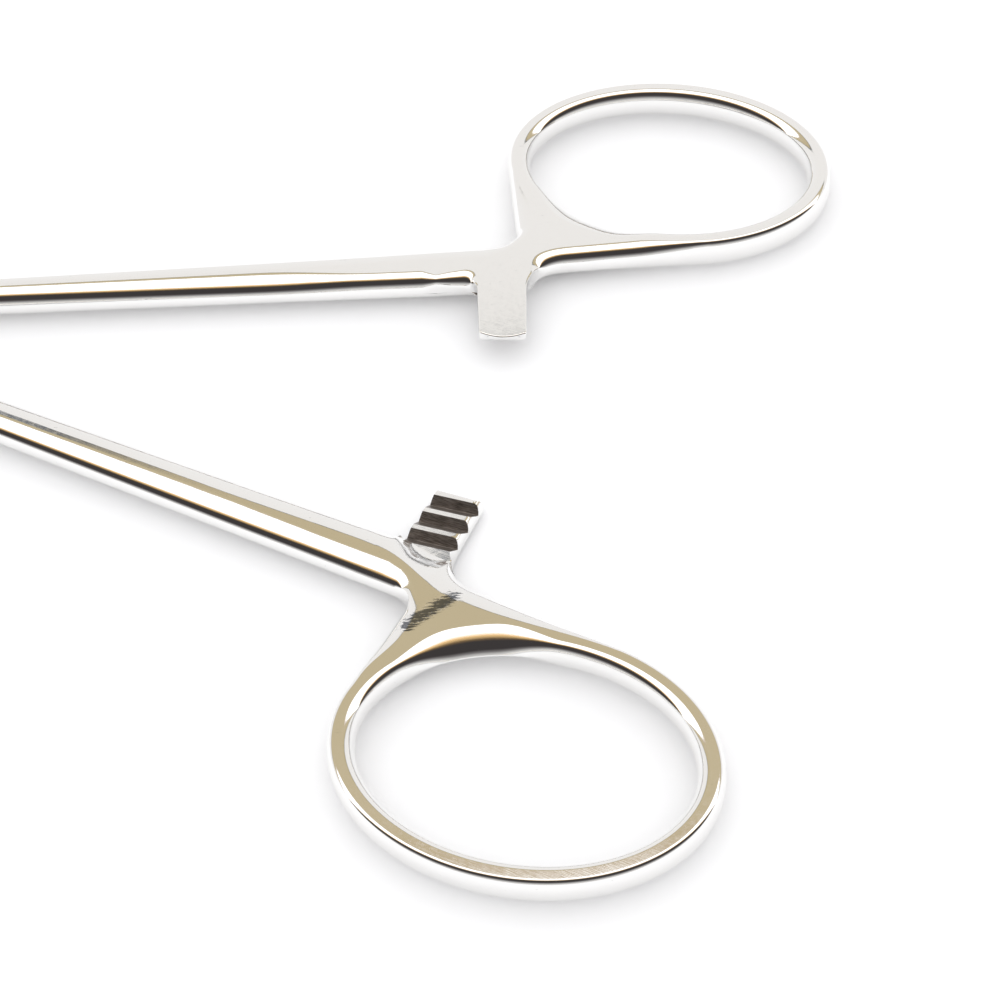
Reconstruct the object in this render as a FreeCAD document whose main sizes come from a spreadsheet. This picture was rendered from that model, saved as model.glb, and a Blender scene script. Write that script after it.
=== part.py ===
"""Hemostat forceps: two ring-handled arms that cross in a box lock on one rivet.

The origin is on the rivet's axis, at the level of the surface the forceps lie on.
X runs from the rivet towards the finger rings, along the line halfway between the
arms, and Z is up. Each arm is drawn as it lies when the jaws are shut, about the
mid-plane of the lock, and its placement then opens it by half the opening angle.
"""
import FreeCAD, Part
import math
import os
from types import SimpleNamespace

import Sketcher

# Driving dimensions, in millimetres and degrees.
DIMENSIONS = [
    # Box lock, its tongue and the rivet through both
    ("lock_thickness", 3.8),
    ("lock_radius", 6.4),
    ("lock_width", 8.4),
    ("lock_rounding", 0.5),
    ("tongue_radius", 3.7),
    ("tongue_thickness", 1.4),
    ("slot_clearance", 0.05),
    ("rivet_radius", 1.3),
    ("rivet_clearance", 0.04),
    # Opening of the arms, and the gap left between them when shut
    ("half_opening", 9.2),
    ("shut_gap", 0.1),
    # Shanks, from the lock to the ratchet
    ("handle_thickness", 2.84),
    ("handle_rounding", 0.9),
    ("root_length", 10.0),
    ("root_width", 2.9),
    ("shank_inner_offset", 3.4),
    # Finger rings, placed from the ratchet bar
    ("ring_past_bar", 13.48),
    ("ring_offset", 18.36),
    ("ring_length", 28.9),
    ("ring_width", 21.5),
    ("ring_wall", 2.05),
    ("ring_tilt", 8.0),
    # Notch between a shank and its ring, on the outer side
    ("notch_before_bar", 1.35),
    ("notch_offset", 9.8),
    ("notch_radius", 1.7),
    # Ratchet bars
    ("bar_reach", 67.5),
    ("bar_width", 4.1),
    ("bar_overhang", 2.4),
    ("bar_gap", 0.1),
    ("bar_ramp", 1.9),
    ("ramp_foot_height", 0.28),
    ("bar_flare", 0.9),
    ("web_past_bar", 3.5),
    ("web_offset", 5.93),
    ("tooth_count", 3),
    ("tooth_pitch", 1.83),
    ("tooth_depth", 0.8),
    ("tooth_face_run", 0.5),
    ("tooth_land", 0.15),
    ("tooth_tip_land", 0.4),
    # Jaws
    ("jaw_length", 46.5),
    ("jaw_root_width", 3.0),
    ("jaw_root_thickness", 3.5),
    ("jaw_tip_width", 1.5),
    ("jaw_tip_thickness", 2.1),
    ("jaw_rounding", 0.9),
    ("jaw_tip_rounding", 0.7),
    ("serrated_length", 30.0),
    ("serration_pitch", 1.0),
    ("serration_depth", 0.22),
]
SHEET_NAME = "dims"

# A cutter that passes right through is drawn this many times as large as what it cuts.
CUTTER_EXCESS = 2
# A rounding takes at most this share of the wall that it runs along.
ROUNDING_SHARE = 0.46
# Two places closer than this, in millimetres, count as the same.
SAME_PLACE = 1e-4

# Where the straight edges of a handle's outline meet its curves, in degrees round from
# the long axis of the ring and round the notch. The sketch starts near its solution with
# them, and the tangents then settle it.
WEB_MEETS_RING = -70
NOTCH_MEETS_RING = 195
SHANK_MEETS_NOTCH = -84.6
RING_MEETS_NOTCH = 11.8


class Size:
    """A size that knows its value and the sheet expression it comes from."""

    def __init__(self, value, text):
        self.value = float(value)
        self.text = text

    def __add__(self, other):
        return Size(self.value + amount(other), f"({self.text} + {written(other)})")

    def __sub__(self, other):
        return Size(self.value - amount(other), f"({self.text} - {written(other)})")

    def __mul__(self, other):
        return Size(self.value * amount(other), f"({self.text} * {written(other)})")

    def __truediv__(self, other):
        return Size(self.value / amount(other), f"({self.text} / {written(other)})")

    def __neg__(self):
        return self * -1


def amount(item):
    """The number held by a Size or a plain number."""
    return item.value if isinstance(item, Size) else float(item)


def written(item):
    """The expression text of a Size or a plain number."""
    return item.text if isinstance(item, Size) else f"({item})"


def smaller(first, second):
    """The smaller of two sizes."""
    return Size(min(first.value, second.value), f"min({first.text}; {second.text})")


def make_sheet(doc):
    """Write the driving dimensions to the sheet and return them as sizes.

    The ring, the notch and the web keep their places about the ratchet bar, so their
    own distances from the rivet are worked out here.
    """
    sheet = doc.addObject("Spreadsheet::Sheet", SHEET_NAME)
    for row, (name, value) in enumerate(DIMENSIONS, start=1):
        sheet.set(f"A{row}", name)
        sheet.set(f"B{row}", str(value))
        sheet.setAlias(f"B{row}", name)
    doc.recompute()
    sizes = {name: Size(value, f"{SHEET_NAME}.{name}") for name, value in DIMENSIONS}
    d = SimpleNamespace(**sizes)
    d.ring_reach = d.bar_reach + d.ring_past_bar
    d.notch_reach = d.bar_reach - d.notch_before_bar
    d.web_reach = d.bar_reach + d.web_past_bar
    return d


def add_sketch(body, name, plane, offset=None):
    """Start a sketch on one of the body's own origin planes, moved along its normal."""
    sketch = body.newObject("Sketcher::SketchObject", name)
    support = next(item for item in body.Origin.OriginFeatures if item.Role == plane)
    sketch.AttachmentSupport = (support, [""])
    sketch.MapMode = "FlatFace"
    if offset is not None:
        sketch.setExpression("AttachmentOffset.Base.z", offset.text)
    return sketch


def drive(sketch, constraint, size):
    """Add a constraint and bind its value to a size."""
    index = sketch.addConstraint(constraint)
    sketch.setExpression(f"Constraints[{index}]", size.text)


def pin_point(sketch, shape, end, x_size, y_size):
    """Place one point of a sketch shape by its two coordinates."""
    drive(sketch, Sketcher.Constraint("DistanceX", -1, 1, shape, end, x_size.value), x_size)
    drive(sketch, Sketcher.Constraint("DistanceY", -1, 1, shape, end, y_size.value), y_size)


def add_line(sketch, start, end):
    """Draw a line between two points given as pairs of sizes or numbers."""
    first = FreeCAD.Vector(amount(start[0]), amount(start[1]), 0)
    second = FreeCAD.Vector(amount(end[0]), amount(end[1]), 0)
    return sketch.addGeometry(Part.LineSegment(first, second), False)


def add_polygon(sketch, corners):
    """Draw a closed outline of straight lines through corners placed by sizes."""
    lines = []
    for index, corner in enumerate(corners):
        following = corners[(index + 1) % len(corners)]
        lines.append(add_line(sketch, corner, following))
    for index, line in enumerate(lines):
        following = lines[(index + 1) % len(lines)]
        sketch.addConstraint(Sketcher.Constraint("Coincident", line, 2, following, 1))
    for line, corner in zip(lines, corners):
        pin_point(sketch, line, 1, corner[0], corner[1])


def add_circle(sketch, radius):
    """Draw a circle about the sketch's origin."""
    shape = Part.Circle(FreeCAD.Vector(0, 0, 0), FreeCAD.Vector(0, 0, 1), radius.value)
    circle = sketch.addGeometry(shape, False)
    sketch.addConstraint(Sketcher.Constraint("Coincident", circle, 3, -1, 1))
    drive(sketch, Sketcher.Constraint("Radius", circle, radius.value), radius)


def add_feature(body, kind, name, sketch):
    """Add a PartDesign feature that works from a sketch."""
    feature = body.newObject(f"PartDesign::{kind}", name)
    feature.Profile = sketch
    return feature


def pad_both_ways(body, name, sketch, length):
    """Add material to both sides of a sketch."""
    pad = add_feature(body, "Pad", name, sketch)
    pad.SideType = "Symmetric"
    pad.setExpression("Length", length.text)
    return pad


def cut_both_ways(body, name, sketch, length):
    """Remove material on both sides of a sketch."""
    pocket = add_feature(body, "Pocket", name, sketch)
    pocket.SideType = "Symmetric"
    pocket.setExpression("Length", length.text)
    return pocket


def repeat(body, name, feature, axis, count, pitch, backwards):
    """Repeat a feature along one of the body's axes."""
    pattern = body.newObject("PartDesign::LinearPattern", name)
    pattern.Originals = [feature]
    direction = next(item for item in body.Origin.OriginFeatures if item.Role == axis)
    pattern.Direction = (direction, [""])
    pattern.Reversed = backwards
    pattern.Mode = "Spacing"
    pattern.setExpression("Occurrences", count.text)
    pattern.setExpression("Offset", pitch.text)
    body.Tip = pattern
    return pattern


def round_edges(body, name, feature, radius, wanted):
    """Round those edges of a feature for which wanted(edge) is true."""
    body.Document.recompute()
    names = [
        f"Edge{number}"
        for number, edge in enumerate(feature.Shape.Edges, start=1)
        if wanted(edge)
    ]
    fillet = body.newObject("PartDesign::Fillet", name)
    fillet.Base = (feature, names)
    fillet.setExpression("Radius", radius.text)
    body.Tip = fillet
    return fillet


def ring_axes(d, inset):
    """Half-length and half-width of a finger ring's outline, set in by a wall."""
    return d.ring_length / 2 - inset, d.ring_width / 2 - inset


def ring_point(d, side, turn):
    """A point on the ring's outer outline, turn degrees round from its long axis."""
    half_length, half_width = ring_axes(d, 0)
    along = half_length.value * math.cos(math.radians(turn))
    across = half_width.value * math.sin(math.radians(turn))
    tilt = math.radians(d.ring_tilt.value)
    reach = d.ring_reach.value + along * math.cos(tilt) + across * math.sin(tilt)
    offset = d.ring_offset.value - along * math.sin(tilt) + across * math.cos(tilt)
    return FreeCAD.Vector(reach, side * offset, 0)


def constrain_ring(d, sketch, shape, side, inset):
    """Fix the centre, axes and tilt of an ellipse that follows the finger ring."""
    pin_point(sketch, shape, 3, d.ring_reach, d.ring_offset * side)
    sketch.exposeInternalGeometry(shape)
    long_axis, short_axis = shape + 1, shape + 2
    half_length, half_width = ring_axes(d, inset)
    for axis, half in ((long_axis, half_length), (short_axis, half_width)):
        full = half * 2
        drive(sketch, Sketcher.Constraint("Distance", axis, full.value), full)
    line = sketch.Geometry[long_axis]
    heading = line.EndPoint - line.StartPoint
    tilt = -side * d.ring_tilt.value
    if heading.x < 0:
        turn = (d.ring_tilt * -side) + 180
        angle = math.radians(tilt + 180)
    else:
        turn = d.ring_tilt * -side
        angle = math.radians(tilt)
    index = sketch.addConstraint(Sketcher.Constraint("Angle", long_axis, angle))
    sketch.setExpression(f"Constraints[{index}]", f"{turn.text} * 1 deg")


def ring_ellipse(d, side, inset):
    """The ellipse of the finger ring's outline, set in by a wall."""
    half_length, half_width = ring_axes(d, inset)
    centre = FreeCAD.Vector(d.ring_reach.value, side * d.ring_offset.value, 0)
    tilt = math.radians(-side * d.ring_tilt.value)
    along = FreeCAD.Vector(math.cos(tilt), math.sin(tilt), 0)
    across = FreeCAD.Vector(-math.sin(tilt), math.cos(tilt), 0)
    long_end = centre + along * half_length.value
    short_end = centre + across * half_width.value
    return Part.Ellipse(long_end, short_end, centre)


def draw_handle(d, sketch, side):
    """Outline of a shank, its web and the outside of its ring, as one closed run."""
    half_gap = d.shut_gap / 2
    outer = half_gap + d.root_width
    inner_run = [
        (0, half_gap * side),
        (d.root_length, half_gap * side),
        (d.bar_reach - d.bar_width / 2 - d.bar_flare, d.shank_inner_offset * side),
        (d.web_reach, d.web_offset * side),
    ]
    web_end = ring_point(d, side, WEB_MEETS_RING)
    ring_end = ring_point(d, side, NOTCH_MEETS_RING)
    centre = FreeCAD.Vector(d.notch_reach.value, side * d.notch_offset.value, 0)
    notch_radius = d.notch_radius.value
    low_turn, high_turn = math.radians(SHANK_MEETS_NOTCH), math.radians(RING_MEETS_NOTCH)

    def notch_point(turn):
        return centre + FreeCAD.Vector(math.cos(turn), side * math.sin(turn), 0) * notch_radius

    notch_low, notch_high = notch_point(low_turn), notch_point(high_turn)

    root_end = add_line(sketch, inner_run[0], inner_run[1])
    shank_inner = add_line(sketch, inner_run[1], inner_run[2])
    under_bar = add_line(sketch, inner_run[2], inner_run[3])
    web_edge = add_line(sketch, inner_run[3], web_end)
    ring_side = add_line(sketch, ring_end, notch_high)
    shank_outer = add_line(sketch, notch_low, (d.root_length, outer * side))
    root_outer = add_line(sketch, (d.root_length, outer * side), (0, outer * side))
    root_cap = add_line(sketch, (0, outer * side), inner_run[0])

    # An arc always runs anticlockwise, so its two ends swap on the mirrored side.
    starts, ends = (1, 2) if side > 0 else (2, 1)
    notch_circle = Part.Circle(centre, FreeCAD.Vector(0, 0, 1), notch_radius)
    notch_turns = sorted((low_turn * side, high_turn * side))
    notch = sketch.addGeometry(Part.ArcOfCircle(notch_circle, *notch_turns), False)
    ellipse = ring_ellipse(d, side, 0)
    ring_turns = [ellipse.parameter(web_end), ellipse.parameter(ring_end)]
    if side < 0:
        ring_turns.reverse()
    ring = sketch.addGeometry(Part.ArcOfEllipse(ellipse, *ring_turns), False)

    for first, second in (
        (root_end, shank_inner),
        (shank_inner, under_bar),
        (under_bar, web_edge),
        (shank_outer, root_outer),
        (root_outer, root_cap),
        (root_cap, root_end),
    ):
        sketch.addConstraint(Sketcher.Constraint("Coincident", first, 2, second, 1))
    for line, end, arc, arc_end in (
        (web_edge, 2, ring, starts),
        (ring_side, 1, ring, ends),
        (ring_side, 2, notch, ends),
        (shank_outer, 1, notch, starts),
    ):
        sketch.addConstraint(Sketcher.Constraint("Tangent", line, end, arc, arc_end))

    sketch.addConstraint(Sketcher.Constraint("PointOnObject", root_end, 1, -2))
    sketch.addConstraint(Sketcher.Constraint("Horizontal", root_end))
    for line, corner in zip((shank_inner, under_bar, web_edge), inner_run[1:]):
        pin_point(sketch, line, 1, corner[0], corner[1])
    pin_point(sketch, root_outer, 1, d.root_length, outer * side)
    sketch.addConstraint(Sketcher.Constraint("PointOnObject", root_cap, 1, -2))
    sketch.addConstraint(Sketcher.Constraint("Horizontal", root_outer))
    pin_point(sketch, notch, 3, d.notch_reach, d.notch_offset * side)
    drive(sketch, Sketcher.Constraint("Radius", notch, notch_radius), d.notch_radius)
    constrain_ring(d, sketch, ring, side, 0)


def add_handle(d, body, side):
    """Shank, web and finger ring, rounded all along their upper and lower edges."""
    outline = add_sketch(body, "handle_outline", "XY_Plane")
    draw_handle(d, outline, side)
    pad_both_ways(body, "handle", outline, d.handle_thickness)

    hole_outline = add_sketch(body, "finger_hole_outline", "XY_Plane")
    hole = hole_outline.addGeometry(ring_ellipse(d, side, d.ring_wall), False)
    constrain_ring(d, hole_outline, hole, side, d.ring_wall)
    ringed = cut_both_ways(body, "finger_hole", hole_outline, d.handle_thickness * CUTTER_EXCESS)

    face_level = d.handle_thickness.value / 2

    def runs_along_a_face(edge):
        on_face = abs(abs(edge.CenterOfMass.z) - face_level) < SAME_PLACE
        return on_face and edge.CenterOfMass.x > SAME_PLACE

    radius = smaller(d.handle_rounding, d.ring_wall * ROUNDING_SHARE)
    return round_edges(body, "handle_rounding", ringed, radius, runs_along_a_face)


def add_ratchet(d, body, side):
    """Ratchet bar with its teeth, which reaches across to the other arm.

    The bar of the slip arm is flush with the top of the handle and has its teeth
    underneath. The box arm's is the same bar turned over, so the two pass each other.
    """
    crest = d.bar_gap / 2
    flush = d.handle_thickness / 2
    root = d.shank_inner_offset
    corners = [
        (-d.bar_overhang, flush),
        (-d.bar_overhang, crest),
        (root, crest),
        (root + d.bar_ramp, d.ramp_foot_height - flush),
        (root + d.bar_ramp, flush),
    ]
    profile = add_sketch(body, "ratchet_bar_profile", "YZ_Plane", d.bar_reach)
    add_polygon(profile, [(y * side, z * side) for y, z in corners])
    pad_both_ways(body, "ratchet_bar", profile, d.bar_width)

    # The bar's root flares into the shank on one side and into the web on the other.
    left = d.bar_reach - d.bar_width / 2
    right = d.bar_reach + d.bar_width / 2
    flare = [
        (left - d.bar_flare, root),
        (left, root - d.bar_flare),
        (right, root - d.bar_flare / 2),
        (right + d.bar_flare / 2, root + d.bar_flare),
        (d.web_reach, d.web_offset),
        (left, d.web_offset),
    ]
    flare_outline = add_sketch(body, "bar_flare_outline", "XY_Plane", crest * side)
    add_polygon(flare_outline, [(x, y * side) for x, y in flare])
    flare_pad = add_feature(body, "Pad", "bar_flare", flare_outline)
    flare_pad.Reversed = side < 0
    flare_pad.setExpression("Length", (flush - crest).text)

    first_tooth = -d.bar_overhang + d.tooth_tip_land
    last_edge = first_tooth + d.tooth_pitch - d.tooth_land
    clear = crest - d.tooth_depth
    groove = [
        (first_tooth, clear),
        (first_tooth, crest),
        (first_tooth + d.tooth_face_run, crest + d.tooth_depth),
        (last_edge, crest),
        (last_edge, clear),
    ]
    groove_profile = add_sketch(body, "tooth_profile", "YZ_Plane", d.bar_reach)
    add_polygon(groove_profile, [(y * side, z * side) for y, z in groove])
    tooth = cut_both_ways(body, "tooth", groove_profile, d.bar_width)
    repeat(body, "teeth", tooth, "Y_Axis", d.tooth_count, d.tooth_pitch, side < 0)


def jaw_section(d, side, width, thickness):
    """Corners of a jaw's section, with its gripping face on the side of the other jaw."""
    inner = d.shut_gap / 2
    outer = inner + width
    half = thickness / 2
    corners = [(inner, -half), (outer, -half), (outer, half), (inner, half)]
    return [(y * -side, z) for y, z in corners]


def add_jaw(d, body, side):
    """Tapered jaw, rounded on its back, with grooves across its gripping face."""
    root = add_sketch(body, "jaw_root_section", "YZ_Plane")
    add_polygon(root, jaw_section(d, side, d.jaw_root_width, d.jaw_root_thickness))
    tip = add_sketch(body, "jaw_tip_section", "YZ_Plane", -d.jaw_length)
    add_polygon(tip, jaw_section(d, side, d.jaw_tip_width, d.jaw_tip_thickness))
    jaw = add_feature(body, "AdditiveLoft", "jaw", root)
    jaw.Sections = [tip]
    jaw.Ruled = True

    tip_reach = -d.jaw_length.value
    back_at_tip = d.shut_gap.value / 2 + d.jaw_tip_width.value

    def is_back_edge(edge):
        ends = [vertex.Point for vertex in edge.Vertexes]
        at_tip = [abs(point.x - tip_reach) < SAME_PLACE for point in ends]
        on_back = [
            abs(abs(point.y) - back_at_tip) < SAME_PLACE
            for point, reached in zip(ends, at_tip)
            if reached
        ]
        return any(at_tip) and not all(at_tip) and all(on_back)

    rounded = round_edges(body, "jaw_back_rounding", jaw, d.jaw_rounding, is_back_edge)

    def is_tip_back(edge):
        middle = edge.CenterOfMass
        at_tip = abs(middle.x - tip_reach) < SAME_PLACE
        return at_tip and abs(middle.y) > d.jaw_tip_width.value / 2

    round_edges(body, "jaw_tip_rounding", rounded, d.jaw_tip_rounding, is_tip_back)


def add_serrations(d, body, side, shift):
    """Grooves across the gripping face, shifted so that two shut jaws mesh."""
    face = d.shut_gap / 2
    start = -d.jaw_length + d.serrated_length - shift
    end = start - d.serration_pitch
    clear = face - d.serration_depth
    corners = [
        (start, clear),
        (start, face),
        (start - d.serration_pitch / 2, face + d.serration_depth),
        (end, face),
        (end, clear),
    ]
    groove_profile = add_sketch(body, "serration_profile", "XY_Plane")
    add_polygon(groove_profile, [(x, y * -side) for x, y in corners])
    groove = cut_both_ways(body, "serration", groove_profile, d.jaw_root_thickness * CUTTER_EXCESS)
    count = Size(
        int(d.serrated_length.value / d.serration_pitch.value),
        f"floor({d.serrated_length.text} / {d.serration_pitch.text}) - 1",
    )
    repeat(body, "serrations", groove, "X_Axis", count, d.serration_pitch, True)


def draw_cheek(d, sketch):
    """Outline of the lock's cheeks: straight sides, and ends on a circle about the rivet.

    The other arm's shoulders run on that circle, so the ends clear them at any opening.
    """
    half_width = d.lock_width / 2
    radius = d.lock_radius
    half_turn = math.asin(half_width.value / radius.value)
    corner_x = radius.value * math.cos(half_turn)
    circle = Part.Circle(FreeCAD.Vector(0, 0, 0), FreeCAD.Vector(0, 0, 1), radius.value)
    front_arc = Part.ArcOfCircle(circle, -half_turn, half_turn)
    back_arc = Part.ArcOfCircle(circle, math.pi - half_turn, math.pi + half_turn)
    front = sketch.addGeometry(front_arc, False)
    back = sketch.addGeometry(back_arc, False)
    upper = add_line(sketch, (corner_x, half_width), (-corner_x, half_width))
    lower = add_line(sketch, (-corner_x, -half_width), (corner_x, -half_width))
    for arc in (front, back):
        sketch.addConstraint(Sketcher.Constraint("Coincident", arc, 3, -1, 1))
        drive(sketch, Sketcher.Constraint("Radius", arc, radius.value), radius)
    for first, first_end, second, second_end in (
        (front, 2, upper, 1),
        (upper, 2, back, 1),
        (back, 2, lower, 1),
        (lower, 2, front, 1),
    ):
        joint = Sketcher.Constraint("Coincident", first, first_end, second, second_end)
        sketch.addConstraint(joint)
    for side_line, offset in ((upper, half_width), (lower, -half_width)):
        sketch.addConstraint(Sketcher.Constraint("Horizontal", side_line))
        level = Sketcher.Constraint("DistanceY", -1, 1, side_line, 1, offset.value)
        drive(sketch, level, offset)


def cut_rivet_hole(d, body, radius):
    """Hole through the lock on the rivet's axis."""
    outline = add_sketch(body, "rivet_hole_outline", "XY_Plane")
    add_circle(outline, radius)
    cut_both_ways(body, "rivet_hole", outline, d.lock_thickness * CUTTER_EXCESS)


def open_arm(d, body, side):
    """Turn an arm about the rivet to its side, with the lock's underside at Z 0."""
    body.setExpression("Placement.Rotation.Angle", (d.half_opening * side).text)
    body.setExpression("Placement.Base.z", (d.lock_thickness / 2).text)


def make_box_arm(doc, d):
    """The arm that is slotted for the other: its two cheeks hold the rivet."""
    side = -1
    body = doc.addObject("PartDesign::Body", "box_arm")
    add_handle(d, body, side)
    add_ratchet(d, body, side)
    add_jaw(d, body, side)
    add_serrations(d, body, side, Size(0, "0"))

    cheek_outline = add_sketch(body, "cheek_outline", "XY_Plane")
    draw_cheek(d, cheek_outline)
    cheeks = pad_both_ways(body, "cheeks", cheek_outline, d.lock_thickness)
    cheek_level = d.lock_thickness.value / 2

    def bounds_a_cheek(edge):
        return abs(abs(edge.CenterOfMass.z) - cheek_level) < SAME_PLACE

    round_edges(body, "cheek_rounding", cheeks, d.lock_rounding, bounds_a_cheek)

    # The slot leaves this arm's own two corners of the lock standing, and opens
    # the two corners that the other arm's shank and jaw swing through.
    slot_height = d.tongue_thickness + d.slot_clearance * 2
    reach = d.lock_radius * CUTTER_EXCESS
    half_gap = d.shut_gap / 2
    nothing = Size(0, "0")
    shank_way = [(nothing, -reach), (reach, -reach), (reach, half_gap), (nothing, half_gap)]
    jaw_way = [(nothing, reach), (-reach, reach), (-reach, -half_gap), (nothing, -half_gap)]
    for way in (shank_way, jaw_way):
        outline = add_sketch(body, "slot_way_outline", "XY_Plane")
        add_polygon(outline, [(x, y * side) for x, y in way])
        cut_both_ways(body, "slot_way", outline, slot_height)
    slot_middle_outline = add_sketch(body, "slot_middle_outline", "XY_Plane")
    add_circle(slot_middle_outline, d.tongue_radius + d.slot_clearance)
    cut_both_ways(body, "slot_middle", slot_middle_outline, slot_height)

    cut_rivet_hole(d, body, d.rivet_radius)
    open_arm(d, body, side)
    return body


def make_slip_arm(doc, d):
    """The arm that passes through the slot: thinned to a tongue inside the lock."""
    side = 1
    body = doc.addObject("PartDesign::Body", "slip_arm")
    add_handle(d, body, side)
    add_ratchet(d, body, side)
    add_jaw(d, body, side)
    add_serrations(d, body, side, d.serration_pitch / 2)

    half_tongue = d.tongue_thickness / 2
    for name, level, upwards in (("upper", half_tongue, True), ("lower", -half_tongue, False)):
        outline = add_sketch(body, f"{name}_shoulder_outline", "XY_Plane", level)
        add_circle(outline, d.lock_radius + d.slot_clearance)
        shoulder = add_feature(body, "Pocket", f"{name}_shoulder", outline)
        shoulder.Reversed = upwards
        shoulder.setExpression("Length", d.lock_thickness.text)

    tongue_outline = add_sketch(body, "tongue_outline", "XY_Plane")
    add_circle(tongue_outline, d.tongue_radius)
    pad_both_ways(body, "tongue", tongue_outline, d.tongue_thickness)
    cut_rivet_hole(d, body, d.rivet_radius + d.rivet_clearance)
    open_arm(d, body, side)
    return body


def make_rivet(doc, d):
    """The rivet, pressed into the box arm's cheeks and flush with both."""
    body = doc.addObject("PartDesign::Body", "pivot_rivet")
    outline = add_sketch(body, "rivet_outline", "XY_Plane")
    add_circle(outline, d.rivet_radius)
    pad_both_ways(body, "rivet", outline, d.lock_thickness)
    body.setExpression("Placement.Base.z", (d.lock_thickness / 2).text)
    return body


def check(doc, pieces):
    """Stop if any object failed, or if a piece is not one good solid."""
    for item in doc.Objects:
        if "Invalid" in item.State or "Error" in item.State:
            raise RuntimeError(f"{item.Name} failed: {item.State}")
    for piece in pieces:
        shape = piece.Shape
        if shape.isNull() or not shape.isValid():
            raise RuntimeError(f"{piece.Label} has no valid shape")
        if len(shape.Solids) != 1:
            raise RuntimeError(f"{piece.Label} is {len(shape.Solids)} solids")


def main():
    """Build the three pieces and write one STEP file for each."""
    doc = FreeCAD.newDocument("hemostat_forceps")
    d = make_sheet(doc)
    pieces = [make_box_arm(doc, d), make_slip_arm(doc, d), make_rivet(doc, d)]
    doc.recompute()
    check(doc, pieces)
    os.makedirs("parts", exist_ok=True)
    for piece in pieces:
        piece.Shape.exportStep(os.path.join("parts", f"{piece.Label}.step"))
        print(piece.Label, round(piece.Shape.Volume, 2), piece.Shape.BoundBox)


main()
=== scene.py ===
"""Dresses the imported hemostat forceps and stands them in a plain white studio.

Each arm is one forged piece: finger ring, web, shank, ratchet bar, its half of the box
lock and its jaw. Arms are modelled in millimetres as they lie with the jaws shut, about
the mid-plane of the lock, and are then opened and lifted to where the frame has them.
"""

import logging
import math
from dataclasses import dataclass, field
from enum import Enum, auto
from typing import Callable, ClassVar

import bpy
from mathutils import Matrix, Vector

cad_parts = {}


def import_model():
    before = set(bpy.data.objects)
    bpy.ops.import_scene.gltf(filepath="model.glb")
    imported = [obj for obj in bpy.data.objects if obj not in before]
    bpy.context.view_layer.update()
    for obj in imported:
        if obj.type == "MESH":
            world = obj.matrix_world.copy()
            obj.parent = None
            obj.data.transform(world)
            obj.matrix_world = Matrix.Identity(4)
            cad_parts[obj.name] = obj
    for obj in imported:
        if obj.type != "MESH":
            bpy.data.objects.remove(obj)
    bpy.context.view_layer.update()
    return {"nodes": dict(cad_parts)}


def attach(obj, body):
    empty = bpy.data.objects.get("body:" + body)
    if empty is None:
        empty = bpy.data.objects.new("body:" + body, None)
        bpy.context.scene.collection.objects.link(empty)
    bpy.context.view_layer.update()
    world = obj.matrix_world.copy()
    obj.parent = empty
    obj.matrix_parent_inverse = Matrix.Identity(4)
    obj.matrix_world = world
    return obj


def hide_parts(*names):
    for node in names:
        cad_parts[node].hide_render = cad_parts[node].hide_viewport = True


LOG = logging.getLogger("forceps")

MM = 0.001
TOUCH = 1e-4
CUT_TOUCH = 1e-5
KEYS_PER_MM = 2000
SHARPEST_CORNER = 0.6

# The sockets of a colour mix node share their names, so they are found by number
MIX_FIRST = 6
MIX_SECOND = 7
MIX_RESULT = 2

Point = tuple[float, float]
Place = tuple[float, float, float]
Colour = tuple[float, float, float]


class Side(Enum):
    """The two arms, by the side of the middle line that their handle lies on."""

    NEAR = -1
    FAR = 1


class Flank(Enum):
    """A part of the handle's outline."""

    BAR_SIDE = auto()
    BACK = auto()
    HOLE = auto()


class Cut(Enum):
    """What a boolean does with the second piece."""

    ADD = "UNION"
    REMOVE = "DIFFERENCE"


class Marked(Enum):
    """What of a mesh is selected."""

    VERTICES = "VERT"
    EDGES = "EDGE"
    FACES = "FACE"


# Small tools of the bench


def clear_selection() -> None:
    """Leave edit mode and deselect everything."""
    if bpy.context.object is not None and bpy.context.object.mode != "OBJECT":
        bpy.ops.object.mode_set(mode="OBJECT")
    bpy.ops.object.select_all(action="DESELECT")


def pick(piece: bpy.types.Object) -> None:
    """Select one piece alone and make it active.

    Args:
        piece: The piece to work on.
    """
    clear_selection()
    piece.select_set(True)
    bpy.context.view_layer.objects.active = piece


def take_new(name: str) -> bpy.types.Object:
    """Name the primitive that has just been added.

    Args:
        name: Its new name.

    Returns:
        The new object.
    """
    piece = bpy.context.object
    piece.name = name
    piece.data.name = name
    return piece


def unmark(piece: bpy.types.Object, kind: Marked) -> None:
    """Make a piece active with nothing on its mesh selected.

    Args:
        piece: The piece to select on.
        kind: What is about to be selected.
    """
    pick(piece)
    bpy.ops.object.mode_set(mode="EDIT")
    bpy.ops.mesh.select_mode(type=kind.value)
    bpy.ops.mesh.select_all(action="DESELECT")
    bpy.ops.object.mode_set(mode="OBJECT")


def select_faces(piece: bpy.types.Object, wanted: Callable) -> None:
    """Go to edit mode with only some faces selected.

    Args:
        piece: The piece to select on.
        wanted: Tells of a polygon whether it is selected.
    """
    unmark(piece, Marked.FACES)
    for polygon in piece.data.polygons:
        polygon.select = bool(wanted(polygon))
    bpy.ops.object.mode_set(mode="EDIT")


def select_edges(piece: bpy.types.Object, wanted: Callable) -> None:
    """Go to edit mode with only some edges selected.

    Args:
        piece: The piece to select on.
        wanted: Tells, from the two ends of an edge, whether it is selected.
    """
    unmark(piece, Marked.EDGES)
    vertices = piece.data.vertices
    for edge in piece.data.edges:
        first, second = (vertices[index].co for index in edge.vertices)
        edge.select = bool(wanted(first, second))
    bpy.ops.object.mode_set(mode="EDIT")


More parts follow.
